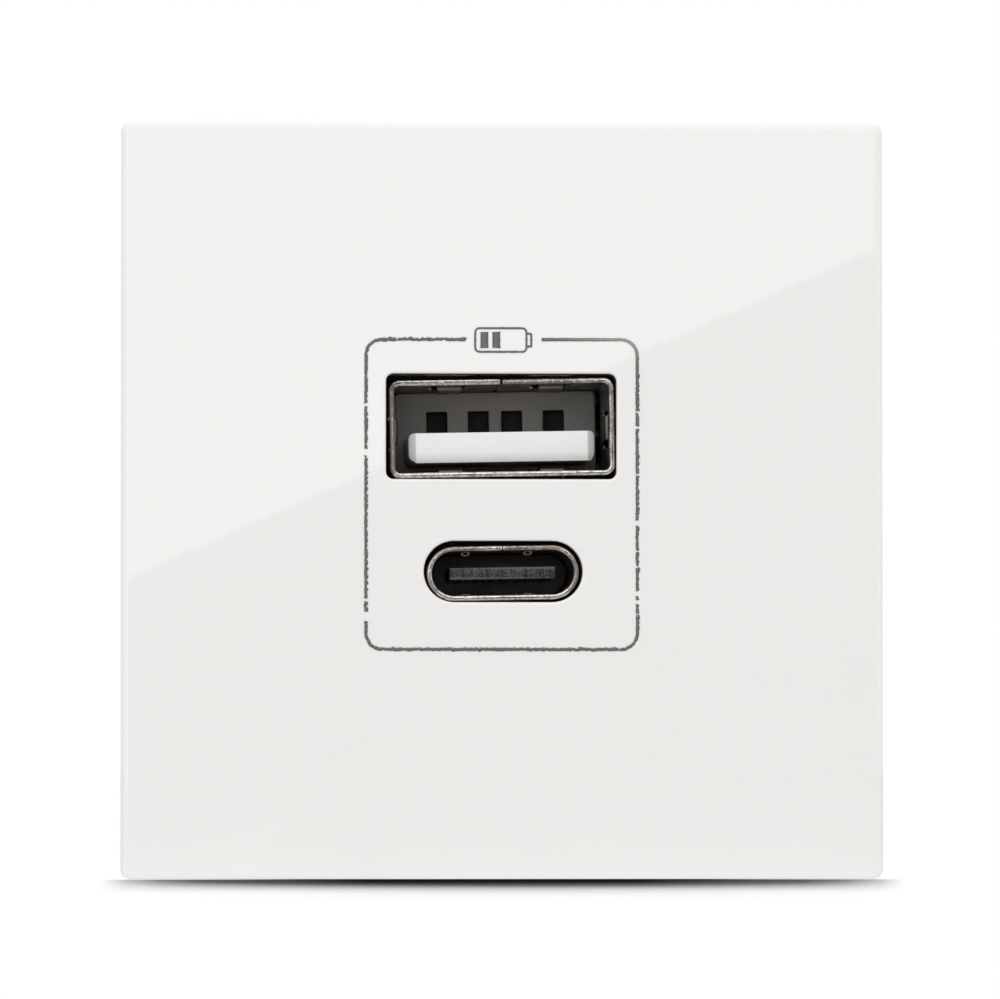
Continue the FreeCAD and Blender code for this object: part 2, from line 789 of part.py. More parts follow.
# %% Rear housing
def rear_housing():
    """The deep housing with corner bosses, board posts, snap arms and the wire entries."""
    body = new_body("rear_housing")
    add(body, "y", "lid_rim", "housing_back", middle("housing_width", "housing_height"))
    round_edges(body, "lid_corner", runs_along_y)
    inner_height = "(housing_height / 2 - housing_wall)"
    cut(body, "y", "lid_rim", HOUSING_FLOOR,
        middle("housing_width - 2 * housing_wall", "housing_height - 2 * housing_wall"))
    add(body, "y", "lid_rim", HOUSING_FLOOR, *[(x, z, "boss_radius") for x, z in corner_points()])
    posts = [(sign_x, sign_z) for sign_x in SIDES for sign_z in SIDES]
    wall = "(housing_width / 2 - housing_wall / 2)"
    for sign_x, sign_z in posts:
        low, high = sorted_ends(sign_x, "post_x - post_width / 2", wall)
        add(body, "y", POWER_BOARD_BACK, HOUSING_FLOOR,
            (low, high, times(sign_z, "post_z") + " - post_width / 2",
             times(sign_z, "post_z") + " + post_width / 2"))
    cut(body, "y", "lid_rim", "housing_screw_tip",
        *[(x, z, "housing_screw_radius") for x, z in corner_points()])
    cut(body, "y", POWER_BOARD_BACK, "power_screw_tip",
        *[(times(sign, "post_x"), "-post_z", "power_screw_radius") for sign in SIDES])
    arm_end = "lid_rim + snap_length"
    for sign in SIDES:
        low, high = sorted_ends(sign, f"{inner_height} - snap_overcut", "housing_height / 2 + snap_overcut")
        slots = [(*sorted_ends(side, "snap_width / 2", "snap_width / 2 + snap_slot"), "lid_rim", arm_end)
                 for side in SIDES]
        cut(body, "z", low, high, *slots)
        add(body, "x", "-(snap_width / 2 - snap_nose_inset)", "snap_width / 2 - snap_nose_inset", snap_profile(sign))
    cut(body, "z", "-housing_height / 2", f"-{inner_height}",
        *[(times(sign, "terminal_x"), "wire_y", "wire_entry_radius") for sign in SIDES])
    cut(body, "y", HOUSING_FLOOR, "housing_back",
        *[(times(sign, "terminal_x"), "terminal_z", "driver_hole_radius") for sign in SIDES])


def snap_profile(sign):
    """The nose of a snap arm: steep toward the mounting frame, sloped toward the rear."""
    face = "housing_height / 2"
    root = times(sign, f"{face} - housing_wall / 2")
    return [
        ("snap_front", root),
        ("snap_front", times(sign, face)),
        ("snap_front + snap_lead", times(sign, f"{face} + snap_rise")),
        ("snap_front + snap_crest", times(sign, f"{face} + snap_rise")),
        ("snap_front + snap_run", times(sign, face)),
        ("snap_front + snap_run", root),
    ]


# %% Port board and its screws
WIDE_LEGS = ("wide_width", "wide_x", "wide_z", "leg_width", "leg_offset")
SLIM_LEGS = ("slim_width", "slim_x", "slim_z", "slim_leg_width", "slim_leg_offset")


def leg_places(width, across, up, offset):
    """Where one shell's two pairs of legs stand: their X edges and Z middles."""
    places = []
    for sign in SIDES:
        low, high = sorted_ends(sign, f"{width} / 2 - sheet_metal", f"{width} / 2")
        for step in SIDES:
            places.append((f"{across} + {low}", f"{across} + {high}", f"{up} + {step} * {offset}"))
    return places


def port_legs():
    """All eight shell legs, as left, right and middle height with the leg's own width."""
    return [(*place, size) for width, across, up, size, offset in (WIDE_LEGS, SLIM_LEGS)
            for place in leg_places(width, across, up, offset)]


def wide_contact_places():
    """The four contacts' places across the tongue, by name."""
    return (
        ("usb_a_power_contact", "wide_x - contact_outer_x"),
        ("usb_a_data_minus_contact", "wide_x - contact_inner_x"),
        ("usb_a_data_plus_contact", "wide_x + contact_inner_x"),
        ("usb_a_ground_contact", "wide_x + contact_outer_x"),
    )


def link_places():
    """The four link pins' places along their row."""
    return [f"link_x + ({k} - 1.5) * link_pitch" for k in range(4)]


def usb_board():
    """The small board behind the lid that carries both ports."""
    body = new_body("usb_board")
    add(body, "y", "port_board_front", PORT_BOARD_BACK, middle("port_board_width", "port_board_height"))
    notch = "(boss_radius + 2 * notch_gap)"
    notches = [(*sorted_ends(right, f"boss_x - {notch}", "port_board_width / 2"),
                *sorted_ends(up, f"boss_z - {notch}", "port_board_height / 2"))
               for right in SIDES for up in SIDES]
    cut(body, "y", "port_board_front", PORT_BOARD_BACK, *notches)
    holes = [(times(sign, "port_screw_x"), "0", "port_screw_radius + port_hole_gap") for sign in SIDES]
    holes += [(x, f"{TONGUE_TOP} + contact_thickness / 2", "pin_hole_radius")
              for name, x in wide_contact_places()]
    holes += [(x, "link_z", "pin_hole_radius") for x in link_places()]
    cut(body, "y", "port_board_front", PORT_BOARD_BACK, *holes)
    gap = "leg_hole_gap"
    legs = [(f"{low} - {gap}", f"{high} + {gap}", f"{up} - {size} / 2 - {gap}",
             f"{up} + {size} / 2 + {gap}") for low, high, up, size in port_legs()]
    cut(body, "y", "port_board_front", PORT_BOARD_BACK, *legs)
    turn_with_board(body)


def usb_board_screws():
    """Two screws from behind that hold the port board on the lid's bosses."""
    back = f"{PORT_BOARD_BACK} + port_head_height"
    screws = [
        screw("port_screw", times(sign, "port_screw_x"), "0",
              ("port_screw_radius", ("-port_screw_tip", PORT_BOARD_BACK)),
              ("port_head_radius", (PORT_BOARD_BACK, back), (f"{back} - drive_depth", back)))
        for sign in SIDES
    ]
    keep(group("usb_board_screws", screws), "usb_board_screws")


# %% Wide port
def leaf_profile(outer, inner, bend):
    """The bent leaf's side view, as places along Y and places across the wall."""
    tip = f"{SHELL_FRONT} + leaf_tip"
    root = f"{SHELL_FRONT} + leaf_root"
    return [
        (f"{root} + leaf_overlap", outer),
        (root, outer),
        (f"{tip} + leaf_crown", f"{outer} - {bend}"),
        (tip, f"{outer} - {bend} * leaf_lift"),
        (tip, f"{inner} - {bend} * leaf_lift"),
        (f"{tip} + leaf_crown", f"{inner} - {bend}"),
        (root, inner),
        (f"{root} + leaf_overlap", inner),
    ]


def spring_leaf(body, x, sign):
    """One contact spring of a long wall, cut free on three sides and bent inward."""
    tip = f"{SHELL_FRONT} + leaf_tip"
    root = f"{SHELL_FRONT} + leaf_root"
    low, high = sorted_ends(sign, "wide_height / 2 - sheet_metal", "wide_height / 2")
    low = f"wide_z + {low}"
    high = f"wide_z + {high}"
    half = "(leaf_width / 2 + leaf_slot)"
    cut(body, "z", low, high, (f"{x} - {half}", f"{x} + {half}", f"{tip} - leaf_slot", root))
    outer = f"wide_z + {sign} * (wide_height / 2)"
    inner = f"wide_z + {sign} * (wide_height / 2 - sheet_metal)"
    add(body, "x", f"{x} - leaf_width / 2", f"{x} + leaf_width / 2",
        leaf_profile(outer, inner, f"{sign} * leaf_bend"))


def side_leaf(body, sign):
    """The contact spring of one short wall."""
    tip = f"{SHELL_FRONT} + leaf_tip"
    root = f"{SHELL_FRONT} + leaf_root"
    low, high = sorted_ends(sign, "wide_width / 2 - sheet_metal", "wide_width / 2")
    half = "(leaf_width / 2 + leaf_slot)"
    cut(body, "x", f"wide_x + {low}", f"wide_x + {high}",
        (f"{tip} - leaf_slot", root, f"wide_z - {half}", f"wide_z + {half}"))
    outer = f"wide_x + {sign} * (wide_width / 2)"
    inner = f"wide_x + {sign} * (wide_width / 2 - sheet_metal)"
    profile = leaf_profile(outer, inner, f"{sign} * side_leaf_bend")
    add(body, "z", "wide_z - leaf_width / 2", "wide_z + leaf_width / 2", [(x, y) for y, x in profile])


def usb_a_shell():
    """The wide port's folded sheet shell with its seam, springs and legs."""
    body = new_body("usb_a_shell")
    add(body, "y", SHELL_FRONT, "port_board_front", middle("wide_width", "wide_height", "wide_x", "wide_z"))
    round_edges(body, "wide_corner", runs_along_y)
    inner = middle("wide_width - 2 * sheet_metal", "wide_height - 2 * sheet_metal", "wide_x", "wide_z")
    cut(body, "y", SHELL_FRONT, "port_board_front", inner)
    round_edges(body, "wide_corner - sheet_metal",
                lambda edge: runs_along_y(edge) and is_inner_corner(edge))
    cut_seam(body, "wide_x", "wide_z + wide_height / 2")
    for sign in SIDES:
        spring_leaf(body, "wide_x - leaf_x", sign)
        spring_leaf(body, "wide_x + leaf_x", sign)
        side_leaf(body, sign)
    add_legs(body, WIDE_LEGS)
    turn_with_board(body)


def cut_seam(body, across, top):
    """The butt seam of a folded shell, in the middle of its upper wall."""
    cut(body, "y", SHELL_FRONT, "port_board_front",
        (f"{across} - shell_seam / 2", f"{across} + shell_seam / 2", f"{top} - sheet_metal", top))


def is_inner_corner(edge):
    """True for an edge along Y at one of the wide shell's inner corners."""
    bounds = edge.BoundBox
    inner_width = SHEET.get("wide_width") / 2 - SHEET.get("sheet_metal")
    inner_height = SHEET.get("wide_height") / 2 - SHEET.get("sheet_metal")
    at_side = abs(abs(bounds.XMin - SHEET.get("wide_x")) - inner_width) < 1e-4
    at_height = abs(abs(bounds.ZMin - SHEET.get("wide_z")) - inner_height) < 1e-4
    return at_side and at_height


def add_legs(body, kind):
    """The shell's legs, which reach through the port board."""
    width, across, up, size, offset = kind
    legs = [(low, high, f"{centre} - {size} / 2", f"{centre} + {size} / 2")
            for low, high, centre in leg_places(width, across, up, offset)]
    add(body, "y", "port_board_front - sheet_metal", f"{PORT_BOARD_BACK} + pin_reach", *legs)


def usb_a_insulator():
    """The wide port's plastic body: the back wall with four slots and the tongue."""
    body = new_body("usb_a_insulator")
    add(body, "y", "wide_back_wall", "port_board_front",
        middle("wide_width - 2 * (sheet_metal + wide_back_gap)",
               "wide_height - 2 * (sheet_metal + plastic_gap)", "wide_x", "wide_z"))
    round_edges(body, "wide_corner - sheet_metal", runs_along_y)
    front = f"{SHELL_FRONT} + tongue_recess"
    left = "wide_x - tongue_width / 2"
    right = "wide_x + tongue_width / 2"
    low = f"{TONGUE_Z} - tongue_height / 2"
    add(body, "y", front, "wide_back_wall", [
        (left, f"{low} + tongue_chamfer"),
        (f"{left} + tongue_chamfer", low),
        (f"{right} - tongue_chamfer", low),
        (right, f"{low} + tongue_chamfer"),
        (right, TONGUE_TOP),
        (left, TONGUE_TOP),
    ])
    nose = [[(end, front), (f"{end} - {sign} * tongue_nose", front), (end, f"{front} + tongue_nose")]
            for end, sign in ((left, -1), (right, 1))]
    cut(body, "z", low, TONGUE_TOP, *nose)
    slots = [(f"{x} - contact_slot_width / 2", f"{x} + contact_slot_width / 2",
              TONGUE_TOP, f"{TONGUE_TOP} + contact_slot_height") for name, x in wide_contact_places()]
    cut(body, "y", "wide_back_wall", "port_board_front", *slots)
    turn_with_board(body)


def usb_a_contacts():
    """Four flat contacts on the tongue, each with a pin through the board."""
    start = f"{SHELL_FRONT} + contact_recess"
    up = (TONGUE_TOP, f"{TONGUE_TOP} + contact_thickness")
    for name, x in wide_contact_places():
        blade = box(f"{name}_blade", (f"{x} - contact_width / 2", f"{x} + contact_width / 2"),
                    (start, "port_board_front"), up)
        pin = box(f"{name}_pin", (f"{x} - contact_pin_width / 2", f"{x} + contact_pin_width / 2"),
                  ("port_board_front", f"{PORT_BOARD_BACK} + pin_reach"), up)
        keep(turn_with_board(fused(name, [blade, pin])), name)


# %% Slim port
def usb_c_shell():
    """The slim port's folded shell, with a seam and two small rolled nibs in each long wall."""
    body = new_body("usb_c_shell")
    add_slot(body, SHELL_FRONT, "port_board_front", "slim_width", "slim_height", "slim_x", "slim_z")
    cut_slot(body, SHELL_FRONT, "port_board_front", "(slim_width - 2 * sheet_metal)",
             "(slim_height - 2 * sheet_metal)", "slim_x", "slim_z")
    start = f"{SHELL_FRONT} + nib_recess"
    nib_z = "(slim_height / 2 - sheet_metal - nib_drop)"
    nibs = [(f"slim_x + {side} * nib_x", f"slim_z + {sign} * {nib_z}")
            for side in SIDES for sign in SIDES]
    add(body, "y", start, f"{start} + nib_length", *[(x, z, "nib_radius") for x, z in nibs])
    cut(body, "y", start, f"{start} + nib_length", *[(x, z, "nib_bore") for x, z in nibs])
    cut_seam(body, "slim_x", "slim_z + slim_height / 2")
    add_legs(body, SLIM_LEGS)
    turn_with_board(body)


def slim_contact_places():
    """The twelve contacts' places across the slim tongue."""
    return [f"slim_x + ({k} - 5.5) * slim_contact_pitch" for k in range(12)]


def usb_c_insulator():
    """The slim port's plastic body: its plug and the tongue, grooved for the contacts."""
    body = new_body("usb_c_insulator")
    gap = "2 * (sheet_metal + plastic_gap)"
    add_slot(body, "slim_back_wall", "port_board_front", f"(slim_width - {gap})",
             f"(slim_height - {gap})", "slim_x", "slim_z")
    front = f"{SHELL_FRONT} + slim_tongue_recess"
    add(body, "y", front, "slim_back_wall",
        middle("slim_tongue_width", "slim_tongue_height", "slim_x", "slim_z"))
    cut(body, "y", front, "slim_back_wall",
        middle("mid_plate_width", "mid_plate_thickness", "slim_x", "slim_z"))
    grooves = []
    for sign in SIDES:
        low, high = sorted_ends(sign, "slim_tongue_height / 2 - slim_contact_thickness",
                                "slim_tongue_height / 2")
        for x in slim_contact_places():
            grooves.append((f"{x} - slim_contact_width / 2", f"{x} + slim_contact_width / 2",
                            f"slim_z + {low}", f"slim_z + {high}"))
    cut(body, "y", f"{SHELL_FRONT} + slim_contact_recess", "port_board_front", *grooves)
    turn_with_board(body)


def usb_c_mid_plate():
    """The thin steel plate inside the slim tongue."""
    front = f"{SHELL_FRONT} + slim_tongue_recess"
    left, right, low, high = middle("mid_plate_width", "mid_plate_thickness", "slim_x", "slim_z")
    plate = box("mid_plate_sheet", (left, right), (front, "slim_back_wall"), (low, high))
    keep(turn_with_board(group("mid_plate_whole", [plate])), "usb_c_mid_plate")


def usb_c_contacts():
    """Two rows of twelve fine contacts, in the grooves of the slim tongue."""
    start = f"{SHELL_FRONT} + slim_contact_recess"
    for name, sign in (("usb_c_upper_contacts", 1), ("usb_c_lower_contacts", -1)):
        low, high = sorted_ends(sign, "slim_tongue_height / 2 - slim_contact_thickness",
                                "slim_tongue_height / 2")
        blades = [box(f"{name}_blade",
                      (f"{x} - slim_contact_width / 2", f"{x} + slim_contact_width / 2"),
                      (start, "port_board_front"), (f"slim_z + {low}", f"slim_z + {high}"))
                  for x in slim_contact_places()]
        keep(turn_with_board(group(name, blades)), name)


# %% Parts that stand on a board
def chip(name, x, z, board):
    """A flat chip on a board, with four bent legs along each long side."""
    legs = []
    for k in range(4):
        along = f"{x} + ({k} - 1.5) * chip_leg_pitch"
        across = (f"{along} - chip_leg_width / 2", f"{along} + chip_leg_width / 2")
        for sign in SIDES:
            legs += chip_leg(name, across, z, board, sign)
    return fused(name, [box(f"{name}_body", *chip_box(x, z, board)), *legs])


def chip_leg(name, across, z, board, sign):
    """One leg in three straight runs: a shoulder from the body, a riser and a foot."""
    bend = "(chip_width / 2 + chip_leg_reach / 2)"
    end = "(chip_width / 2 + chip_leg_reach)"
    runs = (("shoulder", "chip_width / 2", bend, "chip_leg_height", "(chip_leg_height - chip_stand)"),
            ("riser", f"{bend} - chip_stand", bend, "chip_leg_height", "0"),
            ("foot", f"{bend} - chip_stand", end, "chip_stand", "0"))
    leg = []
    for run, near, far, front, back in runs:
        low, high = sorted_ends(sign, near, far)
        leg.append(box(f"{name}_{run}", across, (f"{board} - {front}", f"{board} - {back}"),
                       (f"{z} + {low}", f"{z} + {high}")))
    return leg


def chip_box(x, z, board):
    """The chip's own block, held just off the board by its legs."""
    left, right, low, high = middle("chip_length", "chip_width", x, z)
    return (left, right), (f"{board} - chip_height", f"{board} - chip_stand"), (low, high)


def can(name, x, z, radius, height):
    """An upright can capacitor on the power board, with a rolled groove and two leads."""
    base = "power_board_front"
    blank = rod(f"{name}_can", "y", radius, (f"{base} - {height}", base), x, z)
    groove_y = (f"{base} - can_groove_front", f"{base} - can_groove_back")
    groove = carved(f"{name}_groove", rod(f"{name}_band", "y", f"{radius} + can_groove", groove_y, x, z),
                    rod(f"{name}_neck", "y", f"{radius} - can_groove", groove_y, x, z))
    leads = [rod(f"{name}_lead", "y", "lead_radius", (base, f"{POWER_BOARD_BACK} + pin_reach"),
                 f"{x} + {sign} * can_lead_x", z) for sign in SIDES]
    return fused(name, [carved(f"{name}_body", blank, groove), *leads])


def port_board_parts():
    """The charging controller and two small can capacitors on the port board."""
    board = "port_board_front"
    chip_whole = chip("charging_control_chip", "control_chip_x", "control_chip_z", board)
    keep(turn_with_board(chip_whole), "charging_control_chip")
    for name, sign in (("upper_filter_capacitor", 1), ("lower_filter_capacitor", -1)):
        up = times(sign, "filter_can_z")
        left, right, low, high = middle("filter_foot_size", "filter_foot_size", "filter_can_x", up)
        foot = box(f"{name}_foot", (left, right), (f"{board} - filter_foot_height", board), (low, high))
        drum = rod(f"{name}_drum", "y", "filter_can_radius",
                   (f"{board} - filter_can_height", f"{board} - filter_foot_height"), "filter_can_x", up)
        keep(turn_with_board(fused(name, [foot, drum])), name)


def link_header():
    """Four square pins that join the two boards, in a plastic strip on the port board."""
    pins = []
    for x in link_places():
        left, right, low, high = middle("link_pin", "link_pin", x, "link_z")
        pins.append(box("link_pin", (left, right),
                        ("port_board_front - pin_reach", f"{POWER_BOARD_BACK} + pin_reach"), (low, high)))
    keep(turn_with_board(group("link_header_pins", pins)), "link_header_pins")
    body = new_body("link_header_strip")
    back = f"{PORT_BOARD_BACK} + link_strip_height"
    add(body, "y", PORT_BOARD_BACK, back, middle("4 * link_pitch", "link_pitch", "link_x", "link_z"))
    cut(body, "y", PORT_BOARD_BACK, back,
        *[middle("link_pin", "link_pin", x, "link_z") for x in link_places()])
    turn_with_board(body)


# %% Power board
def lead_places():
    """Every lead that goes through the power board, as X and Z."""
    places = []
    for x, z in (("mains_can_x", "mains_can_low_z"), ("mains_can_x", "mains_can_high_z"),
                 ("output_can_x", "output_can_z"), ("choke_x", "choke_z")):
        places += [(f"{x} + {sign} * can_lead_x", z) for sign in SIDES]
    places += [(f"safety_x + {sign} * safety_lead_x", "safety_z") for sign in SIDES]
    places += [(f"fuse_x + {sign} * fuse_lead_x", "fuse_z") for sign in SIDES]
    places += [(f"coupler_x + {right} * coupler_leg_x", f"coupler_z + {up} * coupler_leg_z")
               for right in SIDES for up in SIDES]
    return places + coil_pin_places()


def coil_pin_places():
    """The transformer's eight pins, four under each end of the bobbin."""
    reach = "(bobbin_length / 2 - bobbin_flange / 2)"
    return [(f"core_x + {sign} * {reach}", f"core_z + ({k} - 1.5) * coil_pin_step")
            for sign in SIDES for k in range(4)]


def power_board():
    """The main board across the housing, notched round the corner bosses."""
    body = new_body("power_board")
    span = ("power_board_front", POWER_BOARD_BACK)
    add(body, "y", *span, middle("power_board_width", "power_board_height"))
    notch = "(boss_radius + notch_gap)"
    cut(body, "y", *span, *[
        (*sorted_ends(right, f"boss_x - {notch}", "power_board_width / 2"),
         *sorted_ends(up, f"boss_z - {notch}", "power_board_height / 2"))
        for right in SIDES for up in SIDES])
    cut(body, "y", *span, *[(x, z, "lead_radius + lead_gap") for x, z in lead_places()])
    cut(body, "y", *span, *[(x, "link_z", "link_hole_radius") for x in link_places()])
    cut(body, "y", *span, *[(times(sign, "post_x"), "-post_z", "power_screw_radius + screw_gap / 2")
                            for sign in SIDES])
    cut(body, "y", *span, *[
        (f"{times(sign, 'terminal_x')} - tab_pin_width / 2 - lead_gap",
         f"{times(sign, 'terminal_x')} + tab_pin_width / 2 + lead_gap",
         "block_top + lead_gap", "block_top + tab_thickness + 3 * lead_gap")
        for sign in SIDES])


def power_board_screws():
    """Two screws that hold the power board on the lower posts."""
    front = "power_board_front - power_head_height"
    screws = [
        screw("power_screw", times(sign, "post_x"), "-post_z",
              ("power_screw_radius", ("power_board_front", "power_screw_tip")),
              ("power_head_radius", (front, "power_board_front"), (front, f"{front} + drive_depth")))
        for sign in SIDES
    ]
    keep(group("power_board_screws", screws), "power_board_screws")


def power_board_chips():
    """The chips and the bridge rectifier on the power board."""
    board = "power_board_front"
    for name, x, z in (("power_control_chip", "power_chip_x", "power_chip_z"),
                       ("output_rectifier_chip", "rectifier_chip_x", "rectifier_chip_z")):
        keep(chip(name, x, z, board), name)
    left, right, low, high = middle("bridge_size", "bridge_size", "bridge_x", "bridge_z")
    block = box("bridge_body", (left, right), (f"{board} - bridge_height", f"{board} - chip_stand"),
                (low, high))
    feet = []
    for right_side in SIDES:
        for up in SIDES:
            x = f"bridge_x + {right_side} * bridge_leg_x"
            edge = sorted_ends(up, "bridge_size / 2 - bridge_foot_width / 2",
                               "bridge_size / 2 + bridge_foot_reach")
            feet.append(box("bridge_foot", (f"{x} - bridge_foot_width / 2", f"{x} + bridge_foot_width / 2"),
                            (f"{board} - bridge_foot_height", board),
                            (f"bridge_z + {edge[0]}", f"bridge_z + {edge[1]}")))
    keep(fused("bridge_rectifier", [block, *feet]), "bridge_rectifier")


def optocoupler():
    """The coupler that bridges the mains side and the port side, on four legs."""
    board = "power_board_front"
    left, right, low, high = middle("coupler_width", "coupler_length", "coupler_x", "coupler_z")
    parts = [box("coupler_body", (left, right), (f"{board} - coupler_height", f"{board} - coupler_stand"),
                 (low, high))]
    for right_side in SIDES:
        for up in SIDES:
            x = f"coupler_x + {right_side} * coupler_leg_x"
            z = f"coupler_z + {up} * coupler_leg_z"
            inner = sorted_ends(up, "coupler_length / 2", "coupler_leg_z + coupler_leg_sheet / 2")
            parts.append(box("coupler_shoulder", (f"{x} - coupler_shoulder / 2", f"{x} + coupler_shoulder / 2"),
                             (f"{board} - coupler_leg_rise", f"{board} - coupler_leg_rise + coupler_leg_sheet"),
                             (f"coupler_z + {inner[0]}", f"coupler_z + {inner[1]}")))
            parts.append(box("coupler_leg", (f"{x} - coupler_leg_width / 2", f"{x} + coupler_leg_width / 2"),
                             (f"{board} - coupler_leg_rise", f"{POWER_BOARD_BACK} + pin_reach"),
                             (f"{z} - coupler_leg_sheet / 2", f"{z} + coupler_leg_sheet / 2")))
    keep(fused("optocoupler", parts), "optocoupler")


def power_board_cans():
    """The mains and output capacitors and the drum choke."""
    for name, x, z in (("lower_mains_capacitor", "mains_can_x", "mains_can_low_z"),
                       ("upper_mains_capacitor", "mains_can_x", "mains_can_high_z"),
                       ("output_capacitor", "output_can_x", "output_can_z")):
        keep(can(name, x, z, "mains_can_radius", "mains_can_height"), name)
    base = "power_board_front"
    top = f"{base} - choke_height"
    waist = "choke_radius - choke_waist"
    drum = [
        rod("choke_foot", "y", "choke_radius", (f"{base} - choke_flange", base), "choke_x", "choke_z"),
        rod("choke_winding", "y", waist, (f"{top} + choke_flange", f"{base} - choke_flange"),
            "choke_x", "choke_z"),
        rod("choke_top", "y", "choke_radius", (top, f"{top} + choke_flange"), "choke_x", "choke_z"),
    ]
    leads = [rod("choke_lead", "y", "lead_radius", (base, f"{POWER_BOARD_BACK} + pin_reach"),
                 f"choke_x + {sign} * can_lead_x", "choke_z") for sign in SIDES]
    keep(fused("filter_choke", drum + leads), "filter_choke")


def safety_capacitor():
    """The disc capacitor that stands on edge above the transformer."""
    base = "power_board_front"
    centre = f"{base} - safety_stand - safety_radius"
    depth = ("safety_z - safety_thickness / 2", "safety_z + safety_thickness / 2")
    parts = [rod("safety_disc", "z", "safety_radius", depth, "safety_x", centre)]
    for sign in SIDES:
        parts.append(rod("safety_lead", "y", "lead_radius", (centre, f"{POWER_BOARD_BACK} + pin_reach"),
                         f"safety_x + {sign} * safety_lead_x", "safety_z"))
    keep(fused("safety_capacitor", parts), "safety_capacitor")


def fuse_resistor():
    """The fusible resistor that lies on the board in the mains line, on two bent leads."""
    base = "power_board_front"
    axis = f"{base} - fuse_stand - fuse_radius"
    parts = [
        rod("fuse_body", "x", "fuse_radius", ("fuse_x - fuse_length / 2", "fuse_x + fuse_length / 2"),
            axis, "fuse_z"),
        rod("fuse_wire", "x", "fuse_wire_radius", ("fuse_x - fuse_lead_x", "fuse_x + fuse_lead_x"),
            axis, "fuse_z"),
    ]
    for sign in SIDES:
        parts.append(rod("fuse_lead", "y", "lead_radius",
                         (f"{axis} - lead_radius", f"{POWER_BOARD_BACK} + pin_reach"),
                         f"fuse_x + {sign} * fuse_lead_x", "fuse_z"))
    keep(fused("fuse_resistor", parts), "fuse_resistor")


# %% Transformer
def core_half(name, sign):
    """One E shaped ferrite half: a back and three legs toward the middle."""
    body = new_body(name)
    edge = "(core_length / 2)"
    window = "(core_length / 2 - core_back)"
    leg = "(core_height / 2 - core_leg)"
    half = "(core_height / 2)"
    points = [
        (edge, f"-{half}"), (edge, half), ("0", half), ("0", leg), (window, leg),
        (window, "core_middle / 2"), ("0", "core_middle / 2"), ("0", "-core_middle / 2"),
        (window, "-core_middle / 2"), (window, f"-{leg}"), ("0", f"-{leg}"), ("0", f"-{half}"),
    ]
    outline = [(f"core_x + {sign} * {x}", f"core_z + {z}") for x, z in points]
    add(body, "y", "core_y - core_thickness / 2", "core_y + core_thickness / 2", outline)


def coil_box(name, length, height, depth):
    """A block about the transformer's middle, from its X length, Z height and Y depth."""
    left, right, low, high = middle(length, height, "core_x", "core_z")
    return box(name, (left, right), (f"core_y - ({depth}) / 2", f"core_y + ({depth}) / 2"), (low, high))


def transformer():
    """The transformer: two core halves, the bobbin with its pins, the winding and its tape."""
    core_half("transformer_core_left", -1)
    core_half("transformer_core_right", 1)
    hole_height = "(core_middle + 2 * bobbin_gap)"
    hole_depth = "(core_thickness + 2 * bobbin_gap)"
    tube_height = f"({hole_height} + 2 * bobbin_wall)"
    tube_depth = f"({hole_depth} + 2 * bobbin_wall)"
    inner_length = "(bobbin_length - 2 * bobbin_flange)"
    tube = coil_box("bobbin_tube", "bobbin_length", tube_height, tube_depth)
    flanges = []
    for sign in SIDES:
        low, high = sorted_ends(sign, "bobbin_length / 2 - bobbin_flange", "bobbin_length / 2")
        flanges.append(box("bobbin_flange", (f"core_x + {low}", f"core_x + {high}"),
                           ("core_y - bobbin_front", "power_board_front"),
                           ("core_z - bobbin_flange_height / 2", "core_z + bobbin_flange_height / 2")))
    bobbin = carved("bobbin_hollow", fused("bobbin_blank", [tube, *flanges]),
                    coil_box("bobbin_hole", "bobbin_length", hole_height, hole_depth))
    pins = []
    sockets = []
    for x, z in coil_pin_places():
        ends = ("power_board_front - coil_pin_depth", f"{POWER_BOARD_BACK} + pin_reach")
        pins.append(rod("coil_pin", "y", "coil_pin_radius", ends, x, z))
        sockets.append(rod("coil_pin_socket", "y", "coil_pin_radius", ends, x, z))
    keep(carved("transformer_bobbin", bobbin, fused("bobbin_sockets", sockets)), "transformer_bobbin")
    keep(group("transformer_pins", pins), "transformer_pins")
    winding = carved("transformer_winding",
                     coil_box("winding_block", inner_length, "winding_height", "winding_depth"),
                     coil_box("winding_hole", inner_length, tube_height, tube_depth))
    keep(winding, "transformer_winding")
    tape = carved("transformer_tape",
                  coil_box("tape_block", inner_length, "winding_height + 2 * tape_thickness",
                           "winding_depth + 2 * tape_thickness"),
                  coil_box("tape_hole", inner_length, "winding_height", "winding_depth"))
    keep(tape, "transformer_tape")


